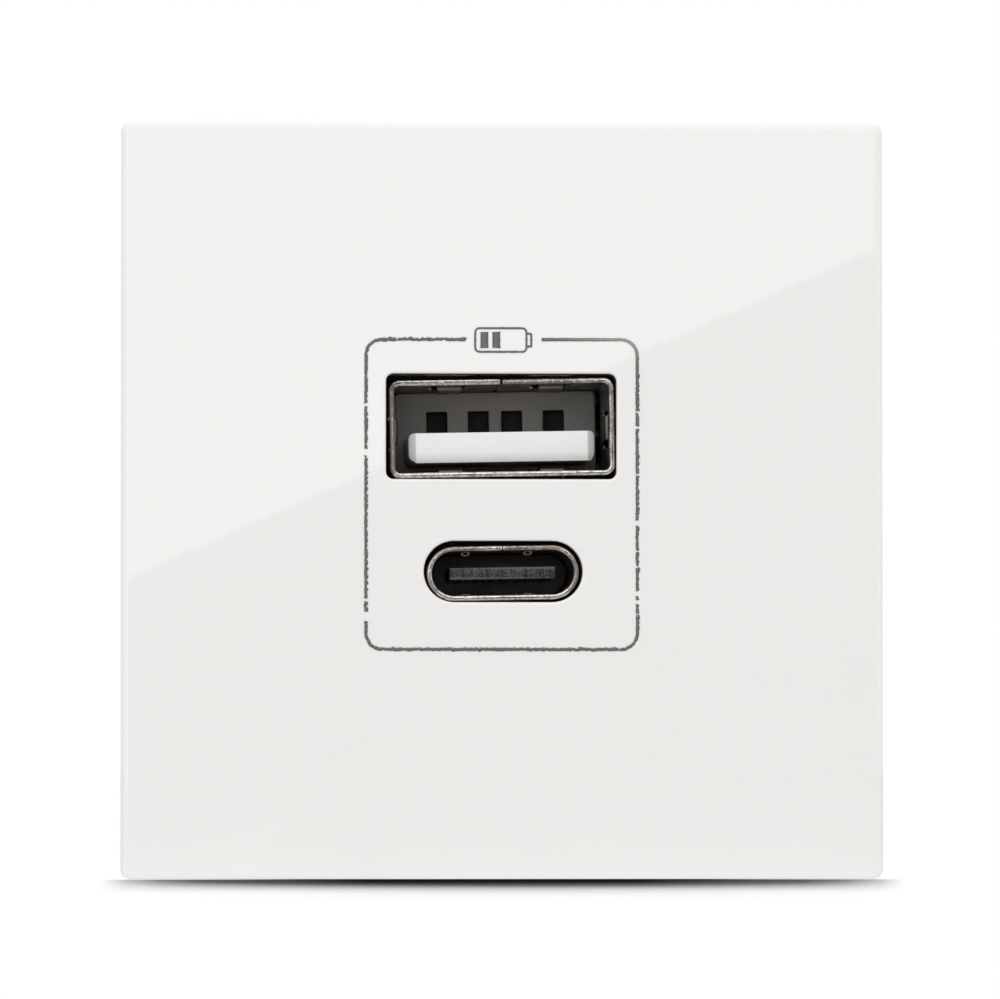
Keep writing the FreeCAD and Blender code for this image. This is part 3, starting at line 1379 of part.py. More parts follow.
# %% Terminal block and its rising clamps
def terminal_block():
    """The two way block behind the power board, open to the wires below and the driver behind."""
    body = new_body("terminal_block")
    add(body, "y", POWER_BOARD_BACK, BLOCK_BACK,
        ("-block_width / 2", "block_width / 2", "block_bottom", "block_top"))
    web_start = "clamp_head_start - clamp_web"
    pockets = []
    screw_holes = []
    head_holes = []
    for sign in SIDES:
        x = times(sign, "terminal_x")
        pockets.append(middle("cage_width + 2 * cage_gap", "cage_depth + 2 * cage_gap", x, "terminal_z"))
        screw_holes.append((x, "terminal_z", "clamp_screw_radius + web_gap"))
        head_holes.append((x, "terminal_z", "clamp_head_radius + clamp_head_gap"))
    cut(body, "y", POWER_BOARD_BACK, web_start, *pockets)
    cut(body, "y", web_start, "clamp_head_start", *screw_holes)
    cut(body, "y", "clamp_head_start", BLOCK_BACK, *head_holes)
    cut(body, "z", "block_bottom", "terminal_z",
        *[(times(sign, "terminal_x"), "wire_y", "wire_hole_radius") for sign in SIDES])
    slots = []
    for sign in SIDES:
        x = times(sign, "terminal_x")
        slots.append((f"{x} - tab_width / 2 - cage_gap / 2", f"{x} + tab_width / 2 + cage_gap / 2",
                      "tab_front - cage_gap / 2", "tab_front + tab_thickness + cage_gap / 2"))
    cut(body, "z", "terminal_z", "block_top", *slots)


def terminal_cage(name, sign):
    """A brass cage round the fixed tab, which the screw draws toward its head."""
    body = new_body(name)
    x = times(sign, "terminal_x")
    end = "cage_start + cage_length"
    add(body, "z", "terminal_z - cage_depth / 2", "terminal_z + cage_depth / 2",
        (f"{x} - cage_width / 2", f"{x} + cage_width / 2", "cage_start", end))
    cut(body, "z", "terminal_z - cage_depth / 2", "terminal_z + cage_depth / 2",
        (f"{x} - cage_width / 2 + cage_side", f"{x} + cage_width / 2 - cage_side",
         "cage_start + cage_front", f"{end} - cage_back"))
    cut(body, "y", f"{end} - cage_back", end, (x, "terminal_z", "clamp_screw_radius + cage_screw_gap"))


def terminal_screw(name, sign):
    """The clamp's slotted screw, whose head turns in the block."""
    x = times(sign, "terminal_x")
    head_end = "clamp_head_start + clamp_head_height"
    blank = fused(f"{name}_blank", [
        rod(f"{name}_shank", "y", "clamp_screw_radius", ("clamp_screw_tip", "clamp_head_start"),
            x, "terminal_z"),
        rod(f"{name}_head", "y", "clamp_head_radius", ("clamp_head_start", head_end), x, "terminal_z"),
    ])
    slot = box(f"{name}_slot", (f"{x} - clamp_head_radius", f"{x} + clamp_head_radius"),
               (f"{head_end} - drive_depth", head_end),
               ("terminal_z - clamp_slot / 2", "terminal_z + clamp_slot / 2"))
    keep(carved(name, blank, slot), name)


def terminal_tab(name, sign):
    """The fixed tab that the wire is clamped against, bent to a pin through the power board."""
    body = new_body(name)
    x = times(sign, "terminal_x")
    back = "tab_front + tab_thickness"
    top = "block_top + 2 * lead_gap + tab_thickness"
    add(body, "z", "terminal_z - tab_foot", top,
        (f"{x} - tab_width / 2", f"{x} + tab_width / 2", "tab_front", back))
    add(body, "y", POWER_BOARD_BACK, "tab_front",
        (f"{x} - tab_width / 2", f"{x} + tab_width / 2", "block_top + 2 * lead_gap", top))
    add(body, "y", "power_board_front - pin_reach", POWER_BOARD_BACK,
        (f"{x} - tab_pin_width / 2", f"{x} + tab_pin_width / 2", "block_top + 2 * lead_gap", top))


def terminals():
    """Both clamps, for the line and the neutral wire."""
    for way, sign in (("line", -1), ("neutral", 1)):
        terminal_cage(f"{way}_terminal_cage", sign)
        terminal_screw(f"{way}_terminal_screw", sign)
        terminal_tab(f"{way}_terminal_tab", sign)


# %% Build, check and write
def check_document():
    """Stops if any object failed, any piece is invalid or any pocket took nothing away."""
    for item in DOCUMENT.Objects:
        if "Invalid" in item.State or "Error" in item.State:
            raise RuntimeError(f"{item.Name} ({item.Label}) is {item.State}")
    for item in DOCUMENT.Objects:
        if item.TypeId == "PartDesign::Pocket":
            if item.BaseFeature.Shape.Volume - item.Shape.Volume < 1e-6:
                raise RuntimeError(f"{item.Name} takes nothing away")
    for piece in PIECES:
        if piece.Shape.isNull() or not piece.Shape.isValid() or not piece.Shape.Solids:
            raise RuntimeError(f"{piece.Label} has no valid solid")


def build():
    """Makes every piece, checks them and writes one file for each."""
    front_cover()
    printed_border()
    battery_symbol()
    housing_lid()
    rear_housing()
    housing_screws()
    usb_board()
    usb_board_screws()
    usb_a_shell()
    usb_a_insulator()
    usb_a_contacts()
    usb_c_shell()
    usb_c_insulator()
    usb_c_mid_plate()
    usb_c_contacts()
    port_board_parts()
    link_header()
    power_board()
    power_board_screws()
    power_board_chips()
    optocoupler()
    power_board_cans()
    safety_capacitor()
    fuse_resistor()
    transformer()
    terminal_block()
    terminals()
    DOCUMENT.recompute()
    check_document()
    os.makedirs("parts", exist_ok=True)
    for piece in PIECES:
        piece.Shape.exportStep(f"parts/{piece.Label}.step")
        bounds = piece.Shape.BoundBox
        print(f"{piece.Label}: {len(piece.Shape.Solids)} solid, {piece.Shape.Volume:.1f} cubic mm, "
              f"x {bounds.XMin:.2f} to {bounds.XMax:.2f}, y {bounds.YMin:.2f} to {bounds.YMax:.2f}, "
              f"z {bounds.ZMin:.2f} to {bounds.ZMax:.2f}")


build()
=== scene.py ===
# %% [markdown]
# # A wall charging socket, dressed on its measured frame
#
# The socket is a white cover with a wide and a slim charging port, clipped over a lid and a deep
# housing that holds two circuit boards, a transformer and a terminal block. Every solid was drawn
# first in a parametric modeller, so each piece made here starts from those places. Camera and light
# come first, then the finishes, and then the pieces whose fine shape a plain solid doesn't have.

# %% Load the frame
import functools
import json
import math

import bmesh
import bpy
from mathutils import Matrix, Vector


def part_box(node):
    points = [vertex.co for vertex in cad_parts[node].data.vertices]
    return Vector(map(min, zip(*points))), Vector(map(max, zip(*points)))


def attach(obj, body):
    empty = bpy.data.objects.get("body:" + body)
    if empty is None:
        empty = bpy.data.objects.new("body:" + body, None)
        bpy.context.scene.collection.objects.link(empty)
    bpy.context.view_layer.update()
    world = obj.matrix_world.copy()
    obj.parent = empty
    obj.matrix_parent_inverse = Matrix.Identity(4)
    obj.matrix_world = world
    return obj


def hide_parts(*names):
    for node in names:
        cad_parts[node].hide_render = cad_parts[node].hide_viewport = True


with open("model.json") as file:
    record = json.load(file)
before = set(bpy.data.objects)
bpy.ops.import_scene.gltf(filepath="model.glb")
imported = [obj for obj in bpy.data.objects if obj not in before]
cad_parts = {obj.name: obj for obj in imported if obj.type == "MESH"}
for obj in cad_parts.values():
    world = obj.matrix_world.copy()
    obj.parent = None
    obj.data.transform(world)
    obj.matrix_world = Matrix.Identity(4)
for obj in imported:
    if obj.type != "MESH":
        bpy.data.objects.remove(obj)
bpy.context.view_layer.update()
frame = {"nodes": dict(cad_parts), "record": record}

MM = 0.001

# %% [markdown]
# ## Camera
#
# The photograph was taken square to the cover, from a little left of its middle and a little
# below it: the ports show some of their right and upper walls. A long lens keeps the plate's sides
# parallel, and a small lens shift keeps the socket in the picture in other views too.

# %% Camera
scene = bpy.context.scene


def linked(name, data):
    """An object with the given data, linked to the scene."""
    made = bpy.data.objects.new(name, data)
    scene.collection.objects.link(made)
    return made


cover_low, cover_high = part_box("front_cover")
face_y = cover_low.y
face_middle = Vector((0, face_y, 0))
VIEW_WIDTH = 58.62 * MM
SENSOR_WIDTH = 36
camera_distance = 450 * MM
camera_place = face_middle + Vector((-21 * MM, -camera_distance, -15 * MM))
camera_data = bpy.data.cameras.new("camera")
camera = linked("camera", camera_data)
camera_data.lens = SENSOR_WIDTH * camera_distance / VIEW_WIDTH
camera_data.shift_x = 0.07
camera_data.shift_y = 0.05
camera_data.clip_start = 0.01
camera_data.clip_end = 20
aim = face_middle - Vector((camera_data.shift_x, 0, camera_data.shift_y)) * VIEW_WIDTH
aim += Vector((-0.17, 0, 0.015)) * MM
camera.location = camera_place
camera.rotation_euler = (aim - camera_place).to_track_quat("-Z", "Y").to_euler()
scene.camera = camera
print("lens in mm:", round(camera_data.lens, 1))

# %% [markdown]
# ## Light, floor and backdrop
#
# The socket stands on a white floor in a bright room. A white sky fills the shadows, and one large
# card stands high on the left, behind the camera. The glossy cover mirrors the card's slanting lower
# edge as the faint diagonal step across the plate. A dark flag behind the card gives the rounded
# metal lips their dark middles. Sky, finishes and geometry trees are all built from nodes, so a few
# helpers that make nodes come first.

# %% Node helpers
def feed(value, slot):
    """Links a socket to the slot, or sets the slot to a value."""
    if isinstance(value, bpy.types.NodeSocket):
        slot.id_data.links.new(value, slot)
    else:
        slot.default_value = (*value, 1) if slot.type == "RGBA" else value


def node(tree, kind, sets=(), *values, **inputs):
    """A new node with its settings, its first inputs in order and more of them by name."""
    made = tree.nodes.new(kind)
    for name, value in dict(sets).items():
        setattr(made, name, value)
    for slot, value in zip(made.inputs, values):
        feed(value, slot)
    for name, value in inputs.items():
        feed(value, made.inputs[name.replace("_", " ")])
    return made


def result(*given, **inputs):
    """The first output of a new node."""
    return node(*given, **inputs).outputs[0]


def maths(tree, operation, *values):
    """The result of one sum."""
    return result(tree, "ShaderNodeMath", {"operation": operation}, *values)


def split(tree, vector):
    """The X, Y and Z of a vector."""
    return node(tree, "ShaderNodeSeparateXYZ", Vector=vector).outputs


def ranged(tree, value, low, high, start=0.0, end=1.0):
    """The value moved from one range to another, clamped."""
    return result(tree, "ShaderNodeMapRange", Value=value, From_Min=start, From_Max=end,
                  To_Min=low, To_Max=high)


def tinted(tree, factor, first, second):
    """A colour between two, by a factor."""
    made = node(tree, "ShaderNodeMix", {"data_type": "RGBA"}, factor)
    feed(first, made.inputs[6])
    feed(second, made.inputs[7])
    return made.outputs[2]


def either(tree, factor, first, second):
    """One shader or another, by a factor."""
    return result(tree, "ShaderNodeMixShader", {}, factor, first, second)


def light_path(tree):
    """The kinds of a light ray, and whether it shows the backdrop to the camera."""
    path = node(tree, "ShaderNodeLightPath").outputs
    return path, maths(tree, "MAXIMUM", path["Is Camera Ray"], path["Is Transmission Ray"])


def empty_tree(owner):
    """The emptied node tree of a material or a sky."""
    owner.use_nodes = True
    owner.node_tree.nodes.clear()
    return owner.node_tree


# %% Sky
SKY_LOW, SKY_HIGH, SKY_RIGHT = 0.70, 1.205, 0.13
world = bpy.data.worlds.new("sky")
scene.world = world
tree = empty_tree(world)
path, seen = light_path(tree)
across, back, upward = split(tree, node(tree, "ShaderNodeTexCoord").outputs["Generated"])
shade = ranged(tree, upward, SKY_LOW, SKY_HIGH, -0.2, 0.9)
from_right = maths(tree, "MULTIPLY_ADD", across, SKY_RIGHT, shade)
lit = result(tree, "ShaderNodeBackground", {}, (1, 0.99, 0.98), from_right)
plain = result(tree, "ShaderNodeBackground", {}, (1, 1, 1), 1.0)
node(tree, "ShaderNodeOutputWorld", Surface=either(tree, seen, lit, plain))

# %% Card behind the camera
def flat_piece(name, corners):
    """A flat face through the given corners, linked to the scene."""
    mesh = bpy.data.meshes.new(name)
    mesh.from_pydata([tuple(corner) for corner in corners], [], [list(range(len(corners)))])
    return linked(name, mesh)


def glow(name, strength):
    """A plain white glowing finish."""
    material = bpy.data.materials.new(name)
    tree = empty_tree(material)
    light = result(tree, "ShaderNodeEmission", {}, (1, 1, 1), strength)
    node(tree, "ShaderNodeOutputMaterial", Surface=light)
    return material


CARD_BACK = 900 * MM
CARD_LIGHT, FLAG_LIGHT = 1.68, 0.17
FLAG_LEFT, FLAG_RIGHT, FLAG_HALF_HEIGHT = -0.42, 0.5, 0.42


def mirrored(x, z):
    """The place on the card's plane that the face's point at x, z mirrors to the camera."""
    on_face = Vector((x, face_y, z))
    ray = on_face - camera_place
    return on_face + Vector((ray.x, -ray.y, ray.z)) * (CARD_BACK / ray.y)


edge_left = mirrored(-22.4 * MM, -4.8 * MM)
edge_right = mirrored(22.4 * MM, 15.0 * MM)
along = (edge_right - edge_left).normalized()
card_start, card_end = edge_left - along * 0.9, edge_right + along * 0.5
card_up = Vector((-along.z, 0, along.x)) * 1.1
card = flat_piece("key_card", [card_start, card_end, card_end + card_up, card_start + card_up])
card.data.materials.append(glow("card_light", CARD_LIGHT))
flag_y = face_y - CARD_BACK - 10 * MM
flag = flat_piece("dark_flag", [(x, flag_y, z * FLAG_HALF_HEIGHT) for x, z in (
    (FLAG_LEFT, -1), (FLAG_RIGHT, -1), (FLAG_RIGHT, 1), (FLAG_LEFT, 1))])
flag.data.materials.append(glow("flag_dark", FLAG_LIGHT))
for stand in (card, flag):
    stand.visible_camera = False

# %% [markdown]
# ### Floor
#
# The floor lies a hair below the plate and shows only from above. A ramp turns ambient occlusion
# into the contact shadow, and two masks keep it in front of the plate and below the housing, and
# away from the plate's sides. To other rays the floor is an even white light, a little stronger
# right below the plate's rim.

# %% Floor
def grey_ramp(tree, value, stops):
    """A ramp of greys through the given places."""
    ramp = node(tree, "ShaderNodeValToRGB", {}, value)
    elements = ramp.color_ramp.elements
    for element, (at, grey) in zip(elements, (stops[0], stops[-1])):
        element.position, element.color = at, (grey, grey, grey, 1)
    for at, grey in stops[1:-1]:
        elements.new(at).color = (grey, grey, grey, 1)
    return ramp.outputs["Color"]


CONTACT_REACH = 0.15
CONTACT_STOPS = [(0.5, 0.008), (0.667, 0.01), (0.742, 0.048), (0.772, 0.089), (0.802, 0.162),
                 (0.828, 0.262), (0.849, 0.392), (0.868, 0.52), (0.882, 0.65), (0.894, 0.79),
                 (0.903, 0.895), (0.93, 1.0)]
SIDE_STOPS = [(0.33, 1.0), (0.7375, 0.9), (0.8375, 0.78), (0.925, 0.48), (0.983, 0.0)]
RIM_GLOW, FLOOR_GLOW, MIRRORED_GLOW = 1.08, 0.85, 0.48
floor_z = cover_low.z - 0.03 * MM
floor = flat_piece("floor", [(-3, -3, floor_z), (3, -3, floor_z), (3, 3, floor_z), (-3, 3, floor_z)])
material = bpy.data.materials.new("floor_white")
tree = empty_tree(material)
nearness = node(tree, "ShaderNodeAmbientOcclusion", {"samples": 16}, Distance=CONTACT_REACH)
contact = grey_ramp(tree, nearness.outputs["AO"], CONTACT_STOPS)
spot = node(tree, "ShaderNodeNewGeometry").outputs
across, back, upward = split(tree, spot["Position"])
ahead = maths(tree, "SUBTRACT", face_y, back)
spread = maths(tree, "DIVIDE", camera_distance, maths(tree, "SUBTRACT", camera_distance, ahead))
off_camera = maths(tree, "SUBTRACT", across, camera_place.x)
aside = maths(tree, "ABSOLUTE", maths(tree, "MULTIPLY_ADD", off_camera, spread, camera_place.x))
inward = grey_ramp(tree, maths(tree, "DIVIDE", aside, 24 * MM), SIDE_STOPS)
before = ranged(tree, back, 0, 1, face_y + 1.5 * MM, face_y)
covered = ranged(tree, aside, 0, 1, 22 * MM, 12 * MM)
housing_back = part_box("rear_housing")[1].y
beyond = ranged(tree, back, 0, 1, housing_back + 30 * MM, housing_back - 10 * MM)
where_seen = maths(tree, "MAXIMUM", before, maths(tree, "MULTIPLY", covered, beyond))
shadowed = tinted(tree, maths(tree, "MULTIPLY", inward, where_seen), (1, 1, 1), contact)
shown = result(tree, "ShaderNodeEmission", {}, shadowed, 1.0)
path, seen = light_path(tree)
bounce = ranged(tree, maths(tree, "ABSOLUTE", ahead), RIM_GLOW, FLOOR_GLOW, 0.2 * MM, 1.0 * MM)
returned = result(tree, "ShaderNodeEmission", {}, (1, 1, 1),
                  ranged(tree, path["Is Glossy Ray"], bounce, MIRRORED_GLOW))
mixed = either(tree, seen, returned, shown)
clear = result(tree, "ShaderNodeBsdfTransparent")
node(tree, "ShaderNodeOutputMaterial", Surface=either(tree, spot["Backfacing"], mixed, clear))
floor.data.materials.append(material)

scene.view_settings.view_transform = "Standard"

# %% [markdown]
# ## Finishes
#
# Every finish has its own node tree on Object coordinates, so a pattern stays on its piece. Most
# start from the same base: a shader, a fine noise that varies its colour and roughness a little,
# and a bump. Then a finish can add its own pattern.

# %% Base of the finishes
finishes = {}


def new_finish(name, colour, rough, metal=0.0, **extra):
    """A finish with one shader: its tree and the shader's sockets."""
    material = bpy.data.materials.new(name)
    material.use_nodes = True
    finishes[name] = material
    shader = material.node_tree.nodes["Principled BSDF"].inputs
    for key, value in dict(Base_Color=colour, Roughness=rough, Metallic=metal, **extra).items():
        feed(value, shader[key.replace("_", " ")])
    return material.node_tree, shader


def place(tree, scale=(1, 1, 1), turn=(0, 0, 0)):
    """Object coordinates in millimetres, stretched and turned."""
    coordinates = node(tree, "ShaderNodeTexCoord").outputs["Object"]
    return result(tree, "ShaderNodeMapping", Vector=coordinates, Rotation=turn,
                  Scale=tuple(1000 * value for value in scale))


def noise(tree, where, scale, detail=3.0, rough=0.5):
    """A noise value at the given size, in features per millimetre."""
    return result(tree, "ShaderNodeTexNoise", Vector=where, Scale=scale, Detail=detail,
                  Roughness=rough)


def set_bump(tree, shader, value, strength, depth, rounding=0.0):
    """A bump of the given depth on the shader, over edges rounded by a radius, in millimetres."""
    made = node(tree, "ShaderNodeBump", Height=value, Strength=strength, Distance=depth * MM)
    if rounding:
        feed(result(tree, "ShaderNodeBevel", {"samples": 6}, rounding * MM), made.inputs["Normal"])
    feed(made.outputs[0], shader["Normal"])


def varied(tree, shader, colour, spread, value):
    """The shader's colour, a little lighter and darker by a noise value."""
    low = tuple(channel * (1 - spread) for channel in colour)
    high = tuple(min(1.0, channel * (1 + spread)) for channel in colour)
    paint(tree, shader, value, low, high)


def paint(tree, shader, factor, first, second):
    """The shader's colour, between two by a factor."""
    feed(tinted(tree, factor, first, second), shader["Base Color"])


def tint_over(name, masked, colour):
    """Tints a finish with another colour, where a mask of X and Z in millimetres says."""
    tree = finishes[name].node_tree
    shader = tree.nodes["Principled BSDF"].inputs
    across, back, upward = split(tree, place(tree))
    first = shader["Base Color"].links[0].from_socket
    paint(tree, shader, masked(tree, across, upward), first, colour)


# %% [markdown]
# ### Plastics
#
# The cover is glossy white, moulded in a polished tool: its surface is smooth with a hint of
# waviness. What lies behind it is moulded in a spark-eroded tool, whose fine matt grain shows as a
# bump of a few hundredths of a millimetre.

# %% Plastic finishes
def gloss_plastic(name, colour, rough, wave=0.004):
    """Polished plastic with slow waviness and faint handling marks."""
    tree, shader = new_finish(name, colour, rough, IOR=1.5)
    where = place(tree)
    varied(tree, shader, colour, 0.006, noise(tree, where, 0.25))
    marks = noise(tree, place(tree, (0.4, 2.5, 2.5), (0, 0.6, 0)), 1.4, 4.0)
    feed(ranged(tree, marks, rough * 0.8, rough * 1.5, 0.3, 0.75), shader["Roughness"])
    set_bump(tree, shader, noise(tree, where, 0.12, 1.0), 0.35, wave)


def grained_plastic(name, colour, rough, grain=0.02, size=7.0):
    """Plastic with the fine grain of a spark-eroded tool and slow flow marks."""
    tree, shader = new_finish(name, colour, rough, IOR=1.5)
    fine = noise(tree, place(tree), size, 2.0, 0.6)
    flow = noise(tree, place(tree, (0.3, 1.0, 1.0), (0, 0.5, 0)), 0.22, 3.0)
    tone = maths(tree, "MULTIPLY_ADD", fine, 0.5, flow)
    varied(tree, shader, colour, 0.045, ranged(tree, tone, 0, 1, 0.45, 1.05))
    feed(ranged(tree, fine, rough * 0.9, rough * 1.15), shader["Roughness"])
    set_bump(tree, shader, fine, 0.6, grain, 0.2)


gloss_plastic("cover_white", (0.80, 0.79, 0.775), 0.012, 0.0012)
gloss_plastic("port_white", (0.73, 0.735, 0.735), 0.28)
# The next finish is the wide port's white moulding behind its tongue, painted darker grey as shade.
grained_plastic("port_shade", (0.44, 0.433, 0.42), 0.5, 0.03, 4.0)
# The next finish is near black: painted shade for the deep slots and the blocks behind the wide port's
# contacts.
grained_plastic("slot_dark", (0.024, 0.023, 0.023), 0.6)
grained_plastic("housing_white", (0.72, 0.72, 0.71), 0.5, 0.03, 4.5)
grained_plastic("housing_grey", (0.33, 0.34, 0.35), 0.5, 0.05, 3.2)
grained_plastic("port_black", (0.045, 0.045, 0.046), 0.42)
grained_plastic("bobbin_black", (0.014, 0.014, 0.015), 0.4)
grained_plastic("strip_black", (0.015, 0.015, 0.016), 0.45)
grained_plastic("block_grey", (0.36, 0.37, 0.37), 0.45, 0.03, 5.0)
grained_plastic("chip_black", (0.018, 0.018, 0.02), 0.6, 0.012, 14.0)

# %% [markdown]
# ### Metals
#
# The port shells are folded from nickel plated sheet. Stamping and many plugs leave fine scratches
# along the pushing direction, so the noise is stretched along Y, and the lips are rubbed brighter.
# Brass and steel use the same recipe.

# %% Metal finishes
def worked_metal(name, colour, rough, scratch=0.01, along=(3.0, 0.25, 3.0), spread=0.08):
    """Metal with fine lines along the way it was worked and patches of duller skin."""
    tree, shader = new_finish(name, colour, rough, 1.0)
    lines = noise(tree, place(tree, along), 3.0, 4.0, 0.6)
    patches = noise(tree, place(tree), 0.9, 3.0)
    varied(tree, shader, colour, spread, patches)
    dull = maths(tree, "MULTIPLY_ADD", patches, 0.5, lines)
    feed(ranged(tree, dull, rough * 0.7, rough * 1.5, 0.4, 1.1), shader["Roughness"])
    set_bump(tree, shader, lines, 0.4, scratch)
    return tree, shader


def grains(tree, size, start, end, detail=4.0, rough=0.7):
    """A mask of grains: a noise at the given size, cut between two of its levels."""
    return ranged(tree, noise(tree, place(tree), size, detail, rough), 0, 1, start, end)


def nickel_finish():
    """Plated sheet: a dull warm skin with tarnish, rubbed bright in grains and lines."""
    tree, shader = worked_metal("nickel", (0.50, 0.45, 0.41), 0.24, 0.02)
    skin = noise(tree, place(tree), 5.0, 4.0, 0.7)
    dull = tinted(tree, grains(tree, 0.8, 0.42, 0.62, 3.0, 0.5), (0.26, 0.225, 0.2), (0.58, 0.53, 0.48))
    paint(tree, shader, ranged(tree, skin, 0, 1, 0.54, 0.72), dull, (0.95, 0.90, 0.86))
    feed(ranged(tree, skin, 0.38, 0.16, 0.4, 0.65), shader["Roughness"])


def cut_edge_finish():
    """The bare cut of the sheet: dull and brownish, with spots that plugs have rubbed bright."""
    tree, shader = worked_metal("cut_edge", (0.2, 0.17, 0.15), 0.4, 0.04, (4.0, 4.0, 4.0))
    stained = tinted(tree, grains(tree, 0.5, 0.4, 0.6, 2.0, 0.5), (0.07, 0.06, 0.05), (0.26, 0.225, 0.2))
    paint(tree, shader, grains(tree, 3.4, 0.52, 0.70), stained, (0.88, 0.82, 0.77))


def rubbed_edge_finish():
    """The rounded side of a lip where plugs slide in: bare bright metal with duller grains."""
    tree, shader = worked_metal("rubbed_edge", (0.9, 0.86, 0.82), 0.34, 0.03, (4.0, 4.0, 4.0))
    paint(tree, shader, grains(tree, 4.5, 0.36, 0.56), (0.36, 0.325, 0.29), (0.84, 0.80, 0.76))


nickel_finish()
cut_edge_finish()
rubbed_edge_finish()
# The next finish is a darker nickel: painted shade for the shells' insides and the left side of a lip.
worked_metal("nickel_shade", (0.20, 0.18, 0.165), 0.4)
worked_metal("contact_gold", (0.83, 0.58, 0.22), 0.2, 0.004)
worked_metal("spring_steel", (0.52, 0.52, 0.53), 0.26)
worked_metal("screw_steel", (0.58, 0.58, 0.57), 0.28, 0.01, (2.0, 2.0, 2.0))
worked_metal("pin_brass", (0.72, 0.70, 0.66), 0.24)
worked_metal("clamp_brass", (0.70, 0.52, 0.26), 0.3, 0.015)

# %% [markdown]
# ### Boards, cores, cans, wire and ink
#
# The boards carry a green lacquer over copper tracks, which show as slightly raised lighter bands.
# Ferrite is a dull dark ceramic with grains. The cans wear a shrunk sleeve with a pale band, the
# disc is dipped, and the wire is enamelled. The ink is thin and a little uneven where the pad laid
# it.

# %% Finishes of boards, cores, cans, wire and ink
def board_finish():
    """Green lacquer over copper tracks, with the weave of the board under it."""
    green, track = (0.010, 0.085, 0.036), (0.022, 0.16, 0.06)
    tree, shader = new_finish("board_green", green, 0.32, IOR=1.5)
    where = place(tree)
    flat = result(tree, "ShaderNodeMapping", Vector=where, Rotation=(math.pi / 2, 0, 0))
    bricks = result(tree, "ShaderNodeTexBrick", {}, flat, (0, 0, 0), (0, 0, 0), (1, 1, 1), 0.35,
                    Mortar_Size=0.06, Brick_Width=0.9, Row_Height=0.42)
    weave = node(tree, "ShaderNodeTexWave", Vector=where, Scale=1.6, Distortion=0.6).outputs["Fac"]
    paint(tree, shader, ranged(tree, weave, 0, 0.12), tinted(tree, bricks, green, track), track)
    set_bump(tree, shader, bricks, 0.6, 0.035)


def speckled(name, colour, rough, spread, size, grain):
    """A dull surface with grains of two tones."""
    tree, shader = new_finish(name, colour, rough)
    cells = result(tree, "ShaderNodeTexVoronoi", Vector=place(tree), Scale=size)
    varied(tree, shader, colour, spread, cells)
    set_bump(tree, shader, cells, 0.5, grain)


def banded(name, colour, band, rough, width, bands_per_mm, metal=0.0):
    """A skin with regular bands across X, as a tape's laps or a sleeve's stripe."""
    tree, shader = new_finish(name, colour, rough, metal)
    bands = node(tree, "ShaderNodeTexWave", Vector=place(tree), Scale=bands_per_mm,
                 Distortion=0.15, Detail=1.0).outputs["Fac"]
    paint(tree, shader, ranged(tree, bands, 0, 1, 0.5 - width, 0.5 + width), colour, band)
    set_bump(tree, shader, bands, 0.6, 0.05)


def ink_finish(name, colour):
    """Thin grey ink, a little uneven."""
    tree, shader = new_finish(name, colour, 0.4)
    where = place(tree)
    varied(tree, shader, colour, 0.25, noise(tree, where, 6.0, 3.0))
    set_bump(tree, shader, noise(tree, where, 12.0), 0.3, 0.006)


board_finish()
speckled("ferrite", (0.045, 0.043, 0.042), 0.55, 0.35, 5.0, 0.02)
speckled("disc_blue", (0.03, 0.14, 0.42), 0.3, 0.12, 1.2, 0.05)
speckled("choke_sleeve", (0.012, 0.012, 0.013), 0.35, 0.25, 3.0, 0.02)
speckled("resistor_coat", (0.11, 0.30, 0.22), 0.45, 0.2, 2.2, 0.05)
banded("can_sleeve", (0.02, 0.02, 0.05), (0.45, 0.46, 0.47), 0.28, 0.05, 0.04)
banded("copper_wire", (0.52, 0.20, 0.07), (0.28, 0.09, 0.03), 0.3, 0.4, 0.9, 0.7)
banded("tape_yellow", (0.72, 0.52, 0.05), (0.60, 0.42, 0.04), 0.35, 0.1, 0.2)
ink_finish("ink", (0.118, 0.118, 0.114))
ink_finish("pale_ink", (0.135, 0.135, 0.13))

# %% Finishes of the solids
slot_of = {part["node"]: part["material_slot"] for part in frame["record"]["subparts"]}
for name, solid in frame["nodes"].items():
    solid.data.materials.clear()
    solid.data.materials.append(finishes[slot_of[name]])

# %% [markdown]
# ## Printed border and battery sign
#
# The border is a line of pad print round both ports. Up close the real line is ragged, and cleaning
# has rubbed small stretches away. A stroke follows a path, so Geometry Nodes make it: the script
# draws the path as plain edges, and one tree sweeps a flat strip along it while noise moves its
# width and its middle. The same tree draws the outline, the cap and the bars of the battery sign.

# %% Stroke tree
def new_geometry_tree(name, sizes):
    """A geometry tree with a mesh in, a mesh out, the named sizes and a finish."""
    tree = bpy.data.node_groups.new(name, "GeometryNodeTree")
    sockets = tree.interface
    for way in ("INPUT", "OUTPUT"):
        sockets.new_socket("Geometry", in_out=way, socket_type="NodeSocketGeometry")
    for label, value in sizes.items():
        kind = "NodeSocketInt" if isinstance(value, int) else "NodeSocketFloat"
        sockets.new_socket(label, in_out="INPUT", socket_type=kind).default_value = value
    sockets.new_socket("Finish", in_out="INPUT", socket_type="NodeSocketMaterial")
    return tree, node(tree, "NodeGroupInput").outputs, node(tree, "NodeGroupOutput")


def end_tree(tree, take, end, geometry):
    """Realizes the instances, sets the finish and ends the tree."""
    real = result(tree, "GeometryNodeRealizeInstances", Geometry=geometry)
    feed(result(tree, "GeometryNodeSetMaterial", Geometry=real, Material=take["Finish"]), end.inputs[0])
    return tree


def vector_maths(tree, operation, *values, **named):
    """The result of one vector sum."""
    return result(tree, "ShaderNodeVectorMath", {"operation": operation}, *values, **named)


def even_curve(tree, take):
    """The drawing as a curve with points at even steps."""
    path = result(tree, "GeometryNodeMeshToCurve", Mesh=take["Geometry"])
    return result(tree, "GeometryNodeResampleCurve", {"mode": "LENGTH"}, Curve=path,
                  Length=take["Step"])


